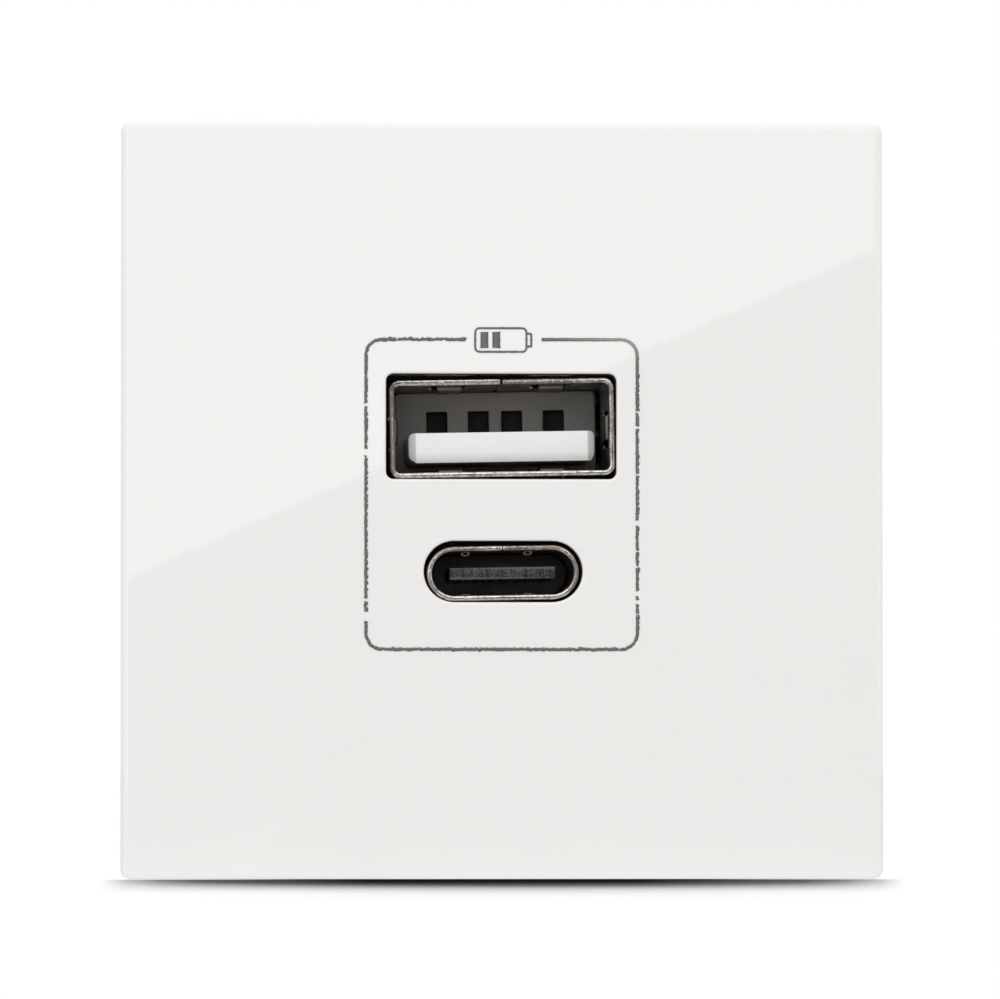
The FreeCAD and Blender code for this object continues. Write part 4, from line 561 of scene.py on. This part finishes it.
def rag_noise(tree, take, **inputs):
    """A noise of the points' places with the tree's seed, and its colour round zero."""
    spot = result(tree, "GeometryNodeInputPosition")
    rag = node(tree, "ShaderNodeTexNoise", {"noise_dimensions": "4D"}, Vector=spot,
               W=take["Seed"], **inputs).outputs
    return rag["Fac"], vector_maths(tree, "SUBTRACT", rag["Color"], (0.5, 0.5, 0.5))


def stroke_tree():
    """Sweeps a flat ragged strip along the edges of a drawing in the XY plane."""
    tree, take, end = new_geometry_tree("ink_stroke", {
        "Line Width": 0.19 * MM, "Ink Thickness": 0.03 * MM, "Step": 0.06 * MM, "Width Spread": 0.3,
        "Wander": 0.015 * MM, "Seed": 1.0, "Grain": 9000.0, "Height": 0.0})
    upright = result(tree, "GeometryNodeSetCurveNormal", {"mode": "Z_UP"}, Curve=even_curve(tree, take))
    rag, drift = rag_noise(tree, take, Scale=take["Grain"], Detail=3.0, Roughness=0.7)
    sideways = vector_maths(tree, "MULTIPLY", drift, (1, 1, 0))
    shift = vector_maths(tree, "SCALE", sideways, Scale=take["Wander"])
    moved = result(tree, "GeometryNodeSetPosition", Geometry=upright, Offset=shift)
    spread = maths(tree, "MULTIPLY_ADD", maths(tree, "SUBTRACT", rag, 0.5), take["Width Spread"], 1.0)
    profile = result(tree, "GeometryNodeCurvePrimitiveQuadrilateral", Width=take["Line Width"],
                     Height=take["Ink Thickness"])
    swept = result(tree, "GeometryNodeCurveToMesh", Curve=moved, Profile_Curve=profile,
                   Scale=spread, Fill_Caps=True)
    lift = result(tree, "ShaderNodeCombineXYZ", Y=take["Height"])
    return end_tree(tree, take, end, result(tree, "GeometryNodeTransform", Geometry=swept,
                                            Rotation=(math.pi / 2, 0, 0), Translation=lift))


def applied(holder):
    """The mesh that an object's modifiers make."""
    bpy.context.view_layer.update()
    evaluated = holder.evaluated_get(bpy.context.evaluated_depsgraph_get())
    return bpy.data.meshes.new_from_object(evaluated)


def made_by(tree, name, drawing, **values):
    """Runs a tree on a drawing and returns its result as a plain mesh piece."""
    holder = linked(name + "_drawing", drawing)
    modifier = holder.modifiers.new("nodes", "NODES")
    modifier.node_group = tree
    for socket in tree.interface.items_tree:
        if socket.in_out == "INPUT" and socket.name in values:
            modifier[socket.identifier] = values[socket.name]
    mesh = applied(holder)
    bpy.data.objects.remove(holder)
    mesh.name = name
    print(name, "faces:", len(mesh.polygons))
    return linked(name, mesh)


stroke = stroke_tree()

# %% Hang a piece on its body
def hang(piece, body, slot, *nodes):
    """Hangs a finished piece on its body and hides the solids it stands for; the slot is not used."""
    if nodes:
        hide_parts(*nodes)
    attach(piece, body)


# %% [markdown]
# The border's drawing is a rounded rectangle that starts at the sign's right side and ends at its
# left. The worn places are small boxes, and a point inside one isn't drawn. The upper right stretch
# is smoother and paler on the real cover, so it is a stroke of its own.

# %% Helpers for the drawings
def corners(left, right, bottom, top, radius, starts=(90, 0, 270, 180), steps=8):
    """Points along the round corners of a rectangle, clockwise, each from its start angle on."""
    points = []
    for start in starts:
        x = right - radius if start in (90, 0) else left + radius
        z = top - radius if start in (90, 180) else bottom + radius
        for k in range(steps + 1):
            angle = math.radians(start - 90 * k / steps)
            points.append((x + radius * math.cos(angle), z + radius * math.sin(angle)))
    return points


def drawing_of(name, lines):
    """A mesh of edges through each line's points, which are given in millimetres."""
    mesh = bpy.data.meshes.new(name)
    points, edges = [], []
    for line in lines:
        first = len(points)
        points += [tuple(value * MM for value in point) for point in line]
        edges += [(k, k + 1) for k in range(first, len(points) - 1)]
    mesh.from_pydata(points, edges, [])
    return mesh


def stretches(points, worn=(), step=0.05):
    """The line cut into the stretches outside the worn places, which are boxes in X and Z."""
    lines, line = [], []
    for (x0, z0), (x1, z1) in zip(points, points[1:]):
        count = max(1, round(math.dist((x0, z0), (x1, z1)) / step))
        for k in range(count + 1):
            x, z = x0 + (x1 - x0) * k / count, z0 + (z1 - z0) * k / count
            if not any(x_low < x < x_high and z_low < z < z_high
                       for x_low, x_high, z_low, z_high in worn):
                line.append((x, z, 0))
            elif line:
                lines.append(line)
                line = []
    return [stretch for stretch in [*lines, line] if len(stretch) > 1]


INK_HEIGHT = face_y - 0.015 * MM


def printed(name, lines, width, spread, wander, ink="ink", **more):
    """A stroke of ink along the lines, just on the cover's face."""
    return made_by(stroke, name, drawing_of(name + "_lines", lines), **{
        "Line Width": width * MM, "Height": INK_HEIGHT, "Width Spread": spread,
        "Wander": wander * MM, "Finish": finishes[ink]}, **more)


# %% Draw the border
def worn_right(tree, across, upward):
    """The share of worn ink: more to the right, and only along the upper line."""
    along = ranged(tree, across, 0, 1, 3.0, 6.8)
    return maths(tree, "MULTIPLY", along, ranged(tree, upward, 0, 1, top - 1.3, top - 0.4))


border_low, border_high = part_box("printed_border")
LINE = 0.19
CORNER = 0.95
RAG = 6500.0
left = border_low.x / MM + LINE / 2
right = border_high.x / MM - LINE / 2
bottom = border_low.z / MM + LINE / 2
top = border_high.z / MM - LINE / 2
smooth_end = (right, top - 1.9)
smooth_path = [(2.29, top), *corners(left, right, bottom, top, CORNER, (90,)), smooth_end]
ragged_path = [smooth_end, *corners(left, right, bottom, top, CORNER, (0, 270, 180)), (-2.19, top)]
worn_below_top = {
    left: ((3.75, 3.91), (6.48, 6.83), (15.23, 15.38), (16.03, 16.53)),
    right: ((4.2, 4.26), (5.11, 5.23), (7.9, 7.95), (10.63, 10.93), (12.4, 12.46), (13.3, 13.35),
            (14.83, 15.03), (15.33, 15.51), (16.1, 16.16))}
worn = [(side - 1, side + 1, top - high, top - low)
        for side, places in worn_below_top.items() for low, high in places]
worn.append((left + 1.80, left + 1.86, top - 1, top + 1))
border = printed("border_print", stretches(ragged_path, worn), LINE, 3.2, 0.28, Grain=RAG)
tint_over("pale_ink", worn_right, (0.28, 0.28, 0.275))
smooth = printed("border_print_smooth", stretches(smooth_path), LINE, 0.9, 0.08, "pale_ink", Grain=RAG)

# %% Draw the battery sign
sign_low, sign_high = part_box("battery_symbol")
SIGN_LINE, SIGN_CORNER = 0.12, 0.25
CAP_INSET, CAP_LENGTH = 0.32, 0.28
BAR_WIDTH, BAR_STEP, BAR_INSET = 0.46, 0.7, 0.225
sign_left = sign_low.x / MM + SIGN_LINE / 2
sign_right = 1.4
sign_bottom = sign_low.z / MM + SIGN_LINE / 2
sign_top = sign_high.z / MM - SIGN_LINE / 2
outline = [(-0.5, sign_top), *corners(sign_left, sign_right, sign_bottom, sign_top, SIGN_CORNER),
           (-0.48, sign_top)]
cap = [(sign_right, sign_top - CAP_INSET), (sign_right + CAP_LENGTH, sign_top - CAP_INSET),
       (sign_right + CAP_LENGTH, sign_bottom + CAP_INSET), (sign_right, sign_bottom + CAP_INSET)]
thin = printed("sign_outline", stretches(outline) + stretches(cap), SIGN_LINE, 1.4, 0.06, Seed=4.0)
first_bar = sign_left + 0.31 + BAR_WIDTH / 2
bars = []
for k in range(2):
    middle = first_bar + BAR_STEP * k
    bars += stretches([(middle, sign_bottom + BAR_INSET), (middle, sign_top - BAR_INSET)])
thick = printed("sign_bars", bars, BAR_WIDTH, 0.4, 0.05, Seed=9.0)

# %% Hang the print on the cover
hang(border, "socket", "ink", "printed_border")
hang(smooth, "socket", "ink")
hang(thin, "socket", "ink", "battery_symbol")
hang(thick, "socket", "ink")

# %% [markdown]
# ## Port shells
#
# Each shell is one strip of nickel plated sheet, folded so that its two ends meet in the middle of
# the upper wall. A stamped lip isn't sharp: the punch rounds one side and tumbling the other, and
# both catch the light as a double line. The solids have the folds, springs and legs already, so
# each shell is a copy of its solid with the lips rounded by a bevel. The seam's end and the nibs
# are moved a little to sit as the real ones do, and each face of the lip gets its place's finish.
# The walls inside and the lip's left side get a darker nickel, which is painted shade.

# %% Copy of a solid with soft edges
def opened(data):
    """A mesh open for changes."""
    mesh = bmesh.new()
    mesh.from_mesh(data)
    return mesh


def merged_copy(name, source):
    """One piece from a copy of a solid, the loose triangles joined into clean faces."""
    mesh = opened(frame["nodes"][source].data)
    bmesh.ops.remove_doubles(mesh, verts=mesh.verts, dist=0.001 * MM)
    bmesh.ops.dissolve_limit(mesh, angle_limit=math.radians(1.5), verts=mesh.verts, edges=mesh.edges)
    data = bpy.data.meshes.new(name)
    mesh.to_mesh(data)
    mesh.free()
    return linked(name, data)


def soften(piece, width, segments=3):
    """Rounds the piece's sharp edges with an applied bevel and smooths its shading."""
    bevel = piece.modifiers.new("soft", "BEVEL")
    bevel.width = width * MM
    bevel.segments = segments
    bevel.limit_method = "ANGLE"
    bevel.angle_limit = math.radians(35)
    mesh = applied(piece)
    piece.modifiers.clear()
    piece.data = mesh
    smooth_shade(mesh, 40)
    print(piece.name, "faces:", len(mesh.polygons))


def smooth_shade(mesh, angle):
    """Smooth shading with sharp edges above an angle in degrees."""
    mesh.shade_smooth()
    mesh.set_sharp_from_angle(angle=math.radians(angle))


def round_corners(piece, radius, segments, wanted):
    """Rounds only the edges that the test picks, before the general softening."""
    mesh = opened(piece.data)
    bmesh.ops.bevel(mesh, geom=[edge for edge in mesh.edges if wanted(edge)], offset=radius * MM,
                    segments=segments, profile=0.5, affect="EDGES", clamp_overlap=False)
    mesh.to_mesh(piece.data)
    mesh.free()


def dress(piece, *names):
    """Gives the piece its finishes, in the order of its face slots."""
    piece.data.materials.clear()
    for name in names:
        piece.data.materials.append(finishes[name])


# %% Shells with worn lips and painted shade
SHELL_FRONT = -7.3
PORT_TURN = math.radians(1.0)
SLIM_X, SLIM_Z = -0.05, -4.28
NIB_WALL, NIB_SHIFT = 1.29, 0.3
SKIN, CUT, SHADE, RUBBED = range(4)
SHELL_FINISHES = ("nickel", "cut_edge", "nickel_shade", "rubbed_edge")


def finish_shell(shell, solid, half_width, half_height, dull_from, dull_to):
    """Gives the cut lip its bare edge, its level rims their rubbed skin, and the inside and the lip's
    left side a darker nickel as painted shade.
    """
    dress(shell, *SHELL_FINISHES)
    low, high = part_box(solid)
    centre = (low + high) / 2
    for face in shell.data.polygons:
        out = face.center - centre
        along = abs(out.x + out.z * math.tan(PORT_TURN))
        across = abs(out.z - out.x * math.tan(PORT_TURN))
        within = along < half_width * MM and across < half_height * MM
        on_lip = face.normal.y < -0.2 and face.center.y < (SHELL_FRONT + 0.13) * MM
        if face.normal.y < -0.97 and face.center.y < (SHELL_FRONT + 0.1) * MM:
            face.material_index = CUT
        elif on_lip and abs(face.normal.z) > abs(face.normal.x):
            dull = out.z > 0 and dull_from * MM < out.x < dull_to * MM
            face.material_index = SKIN if dull else RUBBED
        # Painted shade: the lip's left side gets the darker nickel.
        elif on_lip and out.x < -6 * MM:
            face.material_index = SHADE
        # Painted shade: the faces inside the shell get the darker nickel.
        elif within and face.center.y > (SHELL_FRONT + 0.2) * MM:
            face.material_index = SHADE


def along_lip(edge):
    """Whether an edge of the slim shell runs along its mouth, and not across the sheet."""
    a, b = (vertex.co / MM for vertex in edge.verts)
    at_seam = abs(a.x - SLIM_X) < 0.2 and abs(b.x - SLIM_X) < 0.2
    return max(a.y, b.y) < SHELL_FRONT + 0.01 and not at_seam


def press_nibs(shell):
    """Flattens the four stamped nibs against their walls, where the slim port shows them."""
    for vertex in shell.data.vertices:
        x, y, z = vertex.co / MM
        level = z - SLIM_Z - (x - SLIM_X) * math.tan(PORT_TURN)
        if y > SHELL_FRONT + 1.4 and 1.45 < abs(x - SLIM_X) < 2.25 and 0.5 < abs(level) < NIB_WALL:
            vertex.co.x -= NIB_SHIFT * MM
            flattened = 0.45 if level > 0 else 0.8
            vertex.co.z += math.copysign((NIB_WALL - abs(level)) * flattened, level) * MM


def offset_seam(shell):
    """Lifts the lip's right end a little at the seam, as the folded sheet's ends don't quite meet."""
    low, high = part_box("usb_a_shell")
    for vertex in shell.data.vertices:
        x, y, z = vertex.co / MM
        if 0.05 < x < 0.2 and y < SHELL_FRONT + 0.1 and z > high.z / MM - 0.5:
            vertex.co.z += 0.06 * MM


wide_shell = merged_copy("wide_port_shell", "usb_a_shell")
offset_seam(wide_shell)
soften(wide_shell, 0.12)
finish_shell(wide_shell, "usb_a_shell", 6.33, 2.59, 0.02, 4.2)
slim_shell = merged_copy("slim_port_shell", "usb_c_shell")
press_nibs(slim_shell)
round_corners(slim_shell, 0.115, 3, along_lip)
soften(slim_shell, 0.04, 2)
finish_shell(slim_shell, "usb_c_shell", 4.2, 1.33, -5.0, 5.0)
hang(wide_shell, "socket", "nickel", "usb_a_shell")
hang(slim_shell, "socket", "nickel", "usb_c_shell")

# %% [markdown]
# ## Wide port's tongue and contacts
#
# The tongue is white and catches the light at the mouth of the port, while the moulding behind it
# lies deep in shade, which its darker grey finish paints in. The tongue's edges are rounded, and its
# lower edge is painted darker and warmer as shade. In each slot of the back wall lies a contact: a
# flat blade whose tip dips into the plastic, so that a plug can't catch it. A small block closes each
# slot behind its blade, and slots and blocks are painted near black as shade.

# %% Tongue and back wall
TONGUE_X, TONGUE_Z = 0.05, 3.15
TONGUE_INSET = 0.08


def add_block(piece, low, high):
    """Adds a block between two corners, in millimetres, to the piece's mesh."""
    mesh = opened(piece.data)
    size = Vector(high) - Vector(low)
    middle = (Vector(high) + Vector(low)) / 2
    bmesh.ops.create_cube(mesh, size=1.0, matrix=Matrix.LocRotScale(
        middle * MM, None, Vector([value * MM for value in size])))
    mesh.to_mesh(piece.data)
    mesh.free()


def finish_faces(piece, finish_index, start=-math.inf, end=math.inf):
    """Gives the faces between two places along Y another of the piece's finishes."""
    for face in piece.data.polygons:
        if start * MM < face.center.y < end * MM:
            face.material_index = finish_index


def lower_edge_shade(tree, across, upward):
    """The share of painted shade, darker and warmer, which grows towards the tilted tongue's lower edge.
    """
    level = maths(tree, "MULTIPLY_ADD", across, -math.tan(PORT_TURN), upward)
    return ranged(tree, level, 1, 0, 2.3, 2.85)


def along_port(edge):
    """Whether an edge of the tongue runs inward at one of its four corners."""
    a, b = (vertex.co / MM for vertex in edge.verts)
    return abs(a.y - b.y) > 3 and max(a.y, b.y) < 3 and abs(a.x - b.x) < 0.1 \
        and abs(a.x - TONGUE_X) > 5.2 and abs(a.z - TONGUE_Z) < 1.1


tongue = merged_copy("wide_port_tongue", "usb_a_insulator")
for vertex in tongue.data.vertices:
    x, y, z = vertex.co / MM
    if y < 3 and 5.2 < abs(x - TONGUE_X) < 5.75 and abs(z - TONGUE_Z) < 1.1:
        vertex.co.x -= math.copysign(TONGUE_INSET, x) * MM
round_corners(tongue, 0.3, 4, along_port)
# The tongue's lower edge is tinted darker and warmer: painted shade.
tint_over("port_white", lower_edge_shade, (0.55, 0.54, 0.51))
blade_nodes = ("usb_a_power_contact", "usb_a_data_minus_contact", "usb_a_data_plus_contact",
               "usb_a_ground_contact")
for blade_node in blade_nodes:
    low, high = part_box(blade_node)
    centre = (low.x + high.x) / 2 / MM
    foot = low.z / MM
    add_block(tongue, (centre - 0.61, 2.9, foot + 0.26), (centre + 0.61, 3.1, foot + 1.58))
soften(tongue, 0.08)
dress(tongue, "port_white", "port_shade", "slot_dark")
# The back wall is painted darker grey as shade.
finish_faces(tongue, 1, start=0.9)
# The slots and blocks deeper in are painted near black as shade.
finish_faces(tongue, 2, start=2.0)
hang(tongue, "socket", "port_white", "usb_a_insulator")

# %% Contact blades
for blade_node in blade_nodes:
    low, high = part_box(blade_node)
    blade = merged_copy(blade_node.replace("usb_a", "wide_port").replace("contact", "blade"), blade_node)
    for vertex in blade.data.vertices:
        if vertex.co.y < low.y + 0.1 * MM:
            vertex.co.z -= 0.27 * MM
    soften(blade, 0.04, 2)
    dress(blade, "contact_gold")
    hang(blade, "socket", "contact_gold", blade_node)

# %% [markdown]
# ## Slim port's tongue
#
# The slim port is black inside. Its thin tongue is moulded over the contacts and a steel plate,
# and from the front only the tongue's rounded lip shows, with fine upright lines where the
# contacts end behind it. The lip is a small softened block in front of the copied moulding.
# The lip's upper and lower edges are painted lighter: a painted highlight where its rounding catches the
# light.

# %% Slim tongue
def ribbed_plastic():
    """Dark grey plastic with fine upright lines over the contacts' ends, painted lighter along its upper
    and lower edges as a highlight.
    """
    tree, shader = new_finish("slim_tongue", (0.03, 0.03, 0.03), 0.4, Specular_IOR_Level=0.35)
    where = place(tree)
    streaks = noise(tree, place(tree, (6.0, 1.0, 0.5)), 1.0, 3.0, 0.6)
    lines = maths(tree, "MULTIPLY", streaks, noise(tree, where, 9.0, 2.0))
    # Distance from the lip's middle, which paints its upper and lower edges lighter as a highlight.
    edge = maths(tree, "ABSOLUTE", maths(tree, "ADD", split(tree, where)["Z"], -SLIM_Z))
    body = tinted(tree, ranged(tree, lines, 0, 1, 0.2, 0.33), (0.002, 0.002, 0.002),
                  (0.065, 0.064, 0.063))
    paint(tree, shader, ranged(tree, edge, 0, 0.7, 0.2, 0.3), body, (0.11, 0.108, 0.105))
    set_bump(tree, shader, lines, 0.5, 0.03)


ribbed_plastic()
LIP_HALF_WIDTH, LIP_HALF_HEIGHT = 3.1, 0.34
slim_plastic = merged_copy("slim_port_tongue", "usb_c_insulator")
plate_low, plate_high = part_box("usb_c_mid_plate")
middle_x = (plate_low.x + plate_high.x) / 2 / MM
middle_z = (plate_low.z + plate_high.z) / 2 / MM
front = plate_low.y / MM
add_block(slim_plastic, (middle_x - LIP_HALF_WIDTH, front - 0.05, middle_z - LIP_HALF_HEIGHT),
          (middle_x + LIP_HALF_WIDTH, front + 0.25, middle_z + LIP_HALF_HEIGHT))
lip_turn = Matrix.Rotation(-PORT_TURN, 4, "Y")
lip_middle = Vector((middle_x, front, middle_z)) * MM
for vertex in slim_plastic.data.vertices[-8:]:
    vertex.co = lip_turn @ (vertex.co - lip_middle) + lip_middle
soften(slim_plastic, 0.05)
dress(slim_plastic, "port_black", "slim_tongue")
finish_faces(slim_plastic, 1, end=front + 0.27)
hang(slim_plastic, "socket", "port_black", "usb_c_insulator")

# %% [markdown]
# ## Screws
#
# A screw repeats one turn of thread along its shank, so Geometry Nodes make it: a spiral carries a
# three-cornered crest round a core, a pan head is domed ring by ring, and two bars are cut out of it
# for the driver. One tree makes all ten screws, on points that the solids' own boxes give.

# %% Screw tree
def screw_tree():
    """A screw on every point: its head up along Z, then turned to face front or back."""
    tree, take, end = new_geometry_tree("screw", {
        "Head Radius": 2 * MM, "Head Height": 1.5 * MM, "Shank Radius": 1 * MM,
        "Shank Length": 8 * MM, "Pitch": 0.8 * MM, "Drive Width": 0.6 * MM, "Drive Reach": 1.2 * MM,
        "Drive Depth": 0.7 * MM, "Cross Arm": 1.0, "Dome": 0.35, "Tilt": math.pi / 2})

    sums = functools.partial(maths, tree)
    times = functools.partial(maths, tree, "MULTIPLY")

    def vector(**parts):
        return result(tree, "ShaderNodeCombineXYZ", **parts)

    def lifted(geometry, height):
        return result(tree, "GeometryNodeTransform", Geometry=geometry, Translation=vector(Z=height))

    radius, head, shank, length, pitch, width, reach, depth, cross, dome, tilt = take[1:12]
    half_head = times(head, 0.5)
    blank = result(tree, "GeometryNodeMeshCylinder", Vertices=48, Side_Segments=3, Fill_Segments=7,
                   Radius=radius, Depth=head)
    x, y, z = split(tree, result(tree, "GeometryNodeInputPosition"))
    away = node(tree, "ShaderNodeVectorMath", {"operation": "LENGTH"}, vector(X=x, Y=y))
    out = sums("DIVIDE", away.outputs["Value"], radius)
    drop = times(sums("POWER", out, 3.0), times(head, dome))
    down_by = times(times(drop, sums("GREATER_THAN", z, 0.0)), -1.0)
    domed = result(tree, "GeometryNodeSetPosition", Geometry=blank, Offset=vector(Z=down_by))
    driven = node(tree, "GeometryNodeMeshBoolean", {"operation": "DIFFERENCE", "solver": "EXACT"}, domed)
    double = times(reach, 2.0)
    deep = times(depth, 2.0)
    for wide, long in ((double, width), (times(width, 0.999), times(double, cross))):
        arm = result(tree, "GeometryNodeMeshCube", Size=vector(X=wide, Y=long, Z=deep))
        feed(lifted(arm, half_head), driven.inputs["Mesh 2"])
    core_radius = sums("SUBTRACT", shank, times(pitch, 0.3))
    tip = times(shank, 0.8)
    body_length = sums("SUBTRACT", length, tip)
    core = result(tree, "GeometryNodeMeshCylinder", Vertices=32, Radius=core_radius, Depth=body_length)
    point = result(tree, "GeometryNodeMeshCone", Vertices=32, Radius_Top=core_radius,
                   Radius_Bottom=times(core_radius, 0.6), Depth=tip)
    crest_radius = times(pitch, 0.34)
    path_radius = sums("SUBTRACT", shank, crest_radius)
    spiral = result(tree, "GeometryNodeCurveSpiral", Resolution=24,
                    Rotations=sums("DIVIDE", body_length, pitch), Start_Radius=path_radius,
                    End_Radius=path_radius, Height=body_length)
    crest = result(tree, "GeometryNodeCurvePrimitiveCircle", Resolution=3, Radius=crest_radius)
    thread = result(tree, "GeometryNodeCurveToMesh", Curve=spiral, Profile_Curve=crest, Fill_Caps=True)
    down = times(body_length, -1.0)
    joined = node(tree, "GeometryNodeJoinGeometry")
    for piece, height in ((driven.outputs[0], half_head), (core, times(down, 0.5)), (thread, down),
                          (point, times(length, -1.0))):
        feed(lifted(piece, height), joined.inputs[0])
    turned = result(tree, "GeometryNodeTransform", Geometry=joined.outputs[0], Rotation=vector(X=tilt))
    spots = result(tree, "GeometryNodeMeshToPoints", Mesh=take["Geometry"])
    return end_tree(tree, take, end, result(tree, "GeometryNodeInstanceOnPoints", Points=spots,
                                            Instance=turned))


# %% Make the screws
SCREW_SIZES = ("Head Radius", "Head Height", "Shank Radius", "Shank Length", "Pitch", "Drive Width",
               "Drive Reach", "Drive Depth")


def islands(name):
    """The box of each loose body in a solid, in millimetres."""
    mesh = opened(frame["nodes"][name].data)
    bmesh.ops.remove_doubles(mesh, verts=mesh.verts, dist=0.001 * MM)
    left, boxes = set(mesh.verts), []
    while left:
        reached, queue = set(), [left.pop()]
        while queue:
            vertex = queue.pop()
            reached.add(vertex)
            near = left & {edge.other_vert(vertex) for edge in vertex.link_edges}
            left -= near
            queue += near
        boxes.append([[pick(vertex.co[axis] for vertex in reached) / MM for axis in range(3)]
                      for pick in (min, max)])
    mesh.free()
    return sorted(boxes)


def screws_for(name, solid, body, faces_front, head_height, shank_radius, pitch, drive, **more):
    """Makes the screws that stand for one solid of loose screws and hangs them on a body."""
    places = []
    for low, high in islands(solid):
        seat = low[1] + head_height if faces_front else high[1] - head_height
        length = high[1] - seat if faces_front else seat - low[1]
        head_radius = (high[0] - low[0]) / 2
        places.append([((low[0] + high[0]) / 2, seat, (low[2] + high[2]) / 2)])
    sizes = zip(SCREW_SIZES, (head_radius, head_height, shank_radius, length, pitch, *drive))
    piece = made_by(screws, name, drawing_of(name + "_places", places),
                    **{label: size * MM for label, size in sizes}, **more,
                    Tilt=math.pi / 2 if faces_front else -math.pi / 2, Finish=finishes["screw_steel"])
    smooth_shade(piece.data, 38)
    hang(piece, body, "screw_steel", solid)


screws = screw_tree()
screws_for("housing_screw_set", "housing_screws", "socket", True, 1.6, 1.1, 0.9, (0.6, 1.3, 0.7))
screws_for("port_board_screw_set", "usb_board_screws", "socket", False, 1.2, 0.9, 0.75,
           (0.6, 1.18, 0.7))
screws_for("power_board_screw_set", "power_board_screws", "socket", True, 1.3, 1.0, 0.8,
           (0.6, 1.12, 0.7))
for way in ("line", "neutral"):
    screws_for(f"{way}_clamp_screw", f"{way}_terminal_screw", f"{way}_screw", False, 1.6, 1.5, 0.7,
               (0.8, 2.4, 0.7), **{"Cross Arm": 0.15, "Dome": 0.15})

# %% [markdown]
# ## Transformer's winding
#
# Under its yellow tape the transformer is wound with enamelled copper wire, layer over layer. The
# script draws one long path, forward and back along the bobbin, and a tree sweeps a round wire
# along it. A little noise keeps the turns from lying like a machine's drawing.

# %% Wire tree
def wire_tree():
    """Sweeps a round wire along the edges of a drawing, slightly out of line."""
    tree, take, end = new_geometry_tree("wound_wire", {
        "Wire Radius": 0.2 * MM, "Step": 0.6 * MM, "Sides": 7, "Looseness": 0.03 * MM, "Seed": 2.0})
    even = even_curve(tree, take)
    rag, drift = rag_noise(tree, take, Scale=900.0)
    shift = vector_maths(tree, "SCALE", drift, Scale=take["Looseness"])
    loose = result(tree, "GeometryNodeSetPosition", Geometry=even, Offset=shift)
    profile = result(tree, "GeometryNodeCurvePrimitiveCircle", Resolution=take["Sides"],
                     Radius=take["Wire Radius"])
    return end_tree(tree, take, end, result(tree, "GeometryNodeCurveToMesh", Curve=loose,
                                            Profile_Curve=profile, Fill_Caps=True))


# %% Wind the transformer
def winding_path(ends, inner, outer, wire):
    """Points of a wire wound in layers between two rectangles round the X axis, in millimetres."""
    points, forward = [], True
    (y_in, z_in), (y_out, z_out) = inner, outer
    layers = int(min(y_out - y_in, z_out - z_in) / wire)
    turns = int((ends[1] - ends[0]) / wire) - 1
    for layer in range(layers):
        grown = wire * (layer + 0.5)
        half_y, half_z, round_off = y_in + grown, z_in + grown, min(1.0, 0.3 + grown)
        for turn in range(turns):
            for corner, (side_y, side_z) in enumerate(((1, 1), (-1, 1), (-1, -1), (1, -1))):
                for step in range(3):
                    angle = math.pi / 2 * (corner + step / 2)
                    share = (turn + (corner + step / 3) / 4) / turns
                    along = share if forward else 1 - share
                    points.append((ends[0] + wire / 2 + along * (ends[1] - ends[0] - wire),
                                   side_y * (half_y - round_off) + round_off * math.cos(angle),
                                   side_z * (half_z - round_off) + round_off * math.sin(angle)))
        forward = not forward
    return points, layers, turns


WIRE = 0.42
low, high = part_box("transformer_winding")
middle = (low + high) / 2 / MM
block = frame["nodes"]["transformer_winding"].data
inner_y, inner_z = (min(abs(vertex.co[axis] / MM - middle[axis]) for vertex in block.vertices)
                    for axis in (1, 2))
outer_y, outer_z = high.y / MM - middle.y, high.z / MM - middle.z
points, layers, turns = winding_path((low.x / MM, high.x / MM), (inner_y, inner_z),
                                     (outer_y, outer_z), WIRE)
drawing = drawing_of("winding", [[(x, y + middle.y, z + middle.z) for x, y, z in points]])
wound = made_by(wire_tree(), "wound_wire", drawing,
                **{"Wire Radius": WIRE / 2 * MM, "Finish": finishes["copper_wire"]})
wound.data.shade_smooth()
hang(wound, "socket", "copper_wire", "transformer_winding")
print("layers:", layers, "turns in each:", turns)
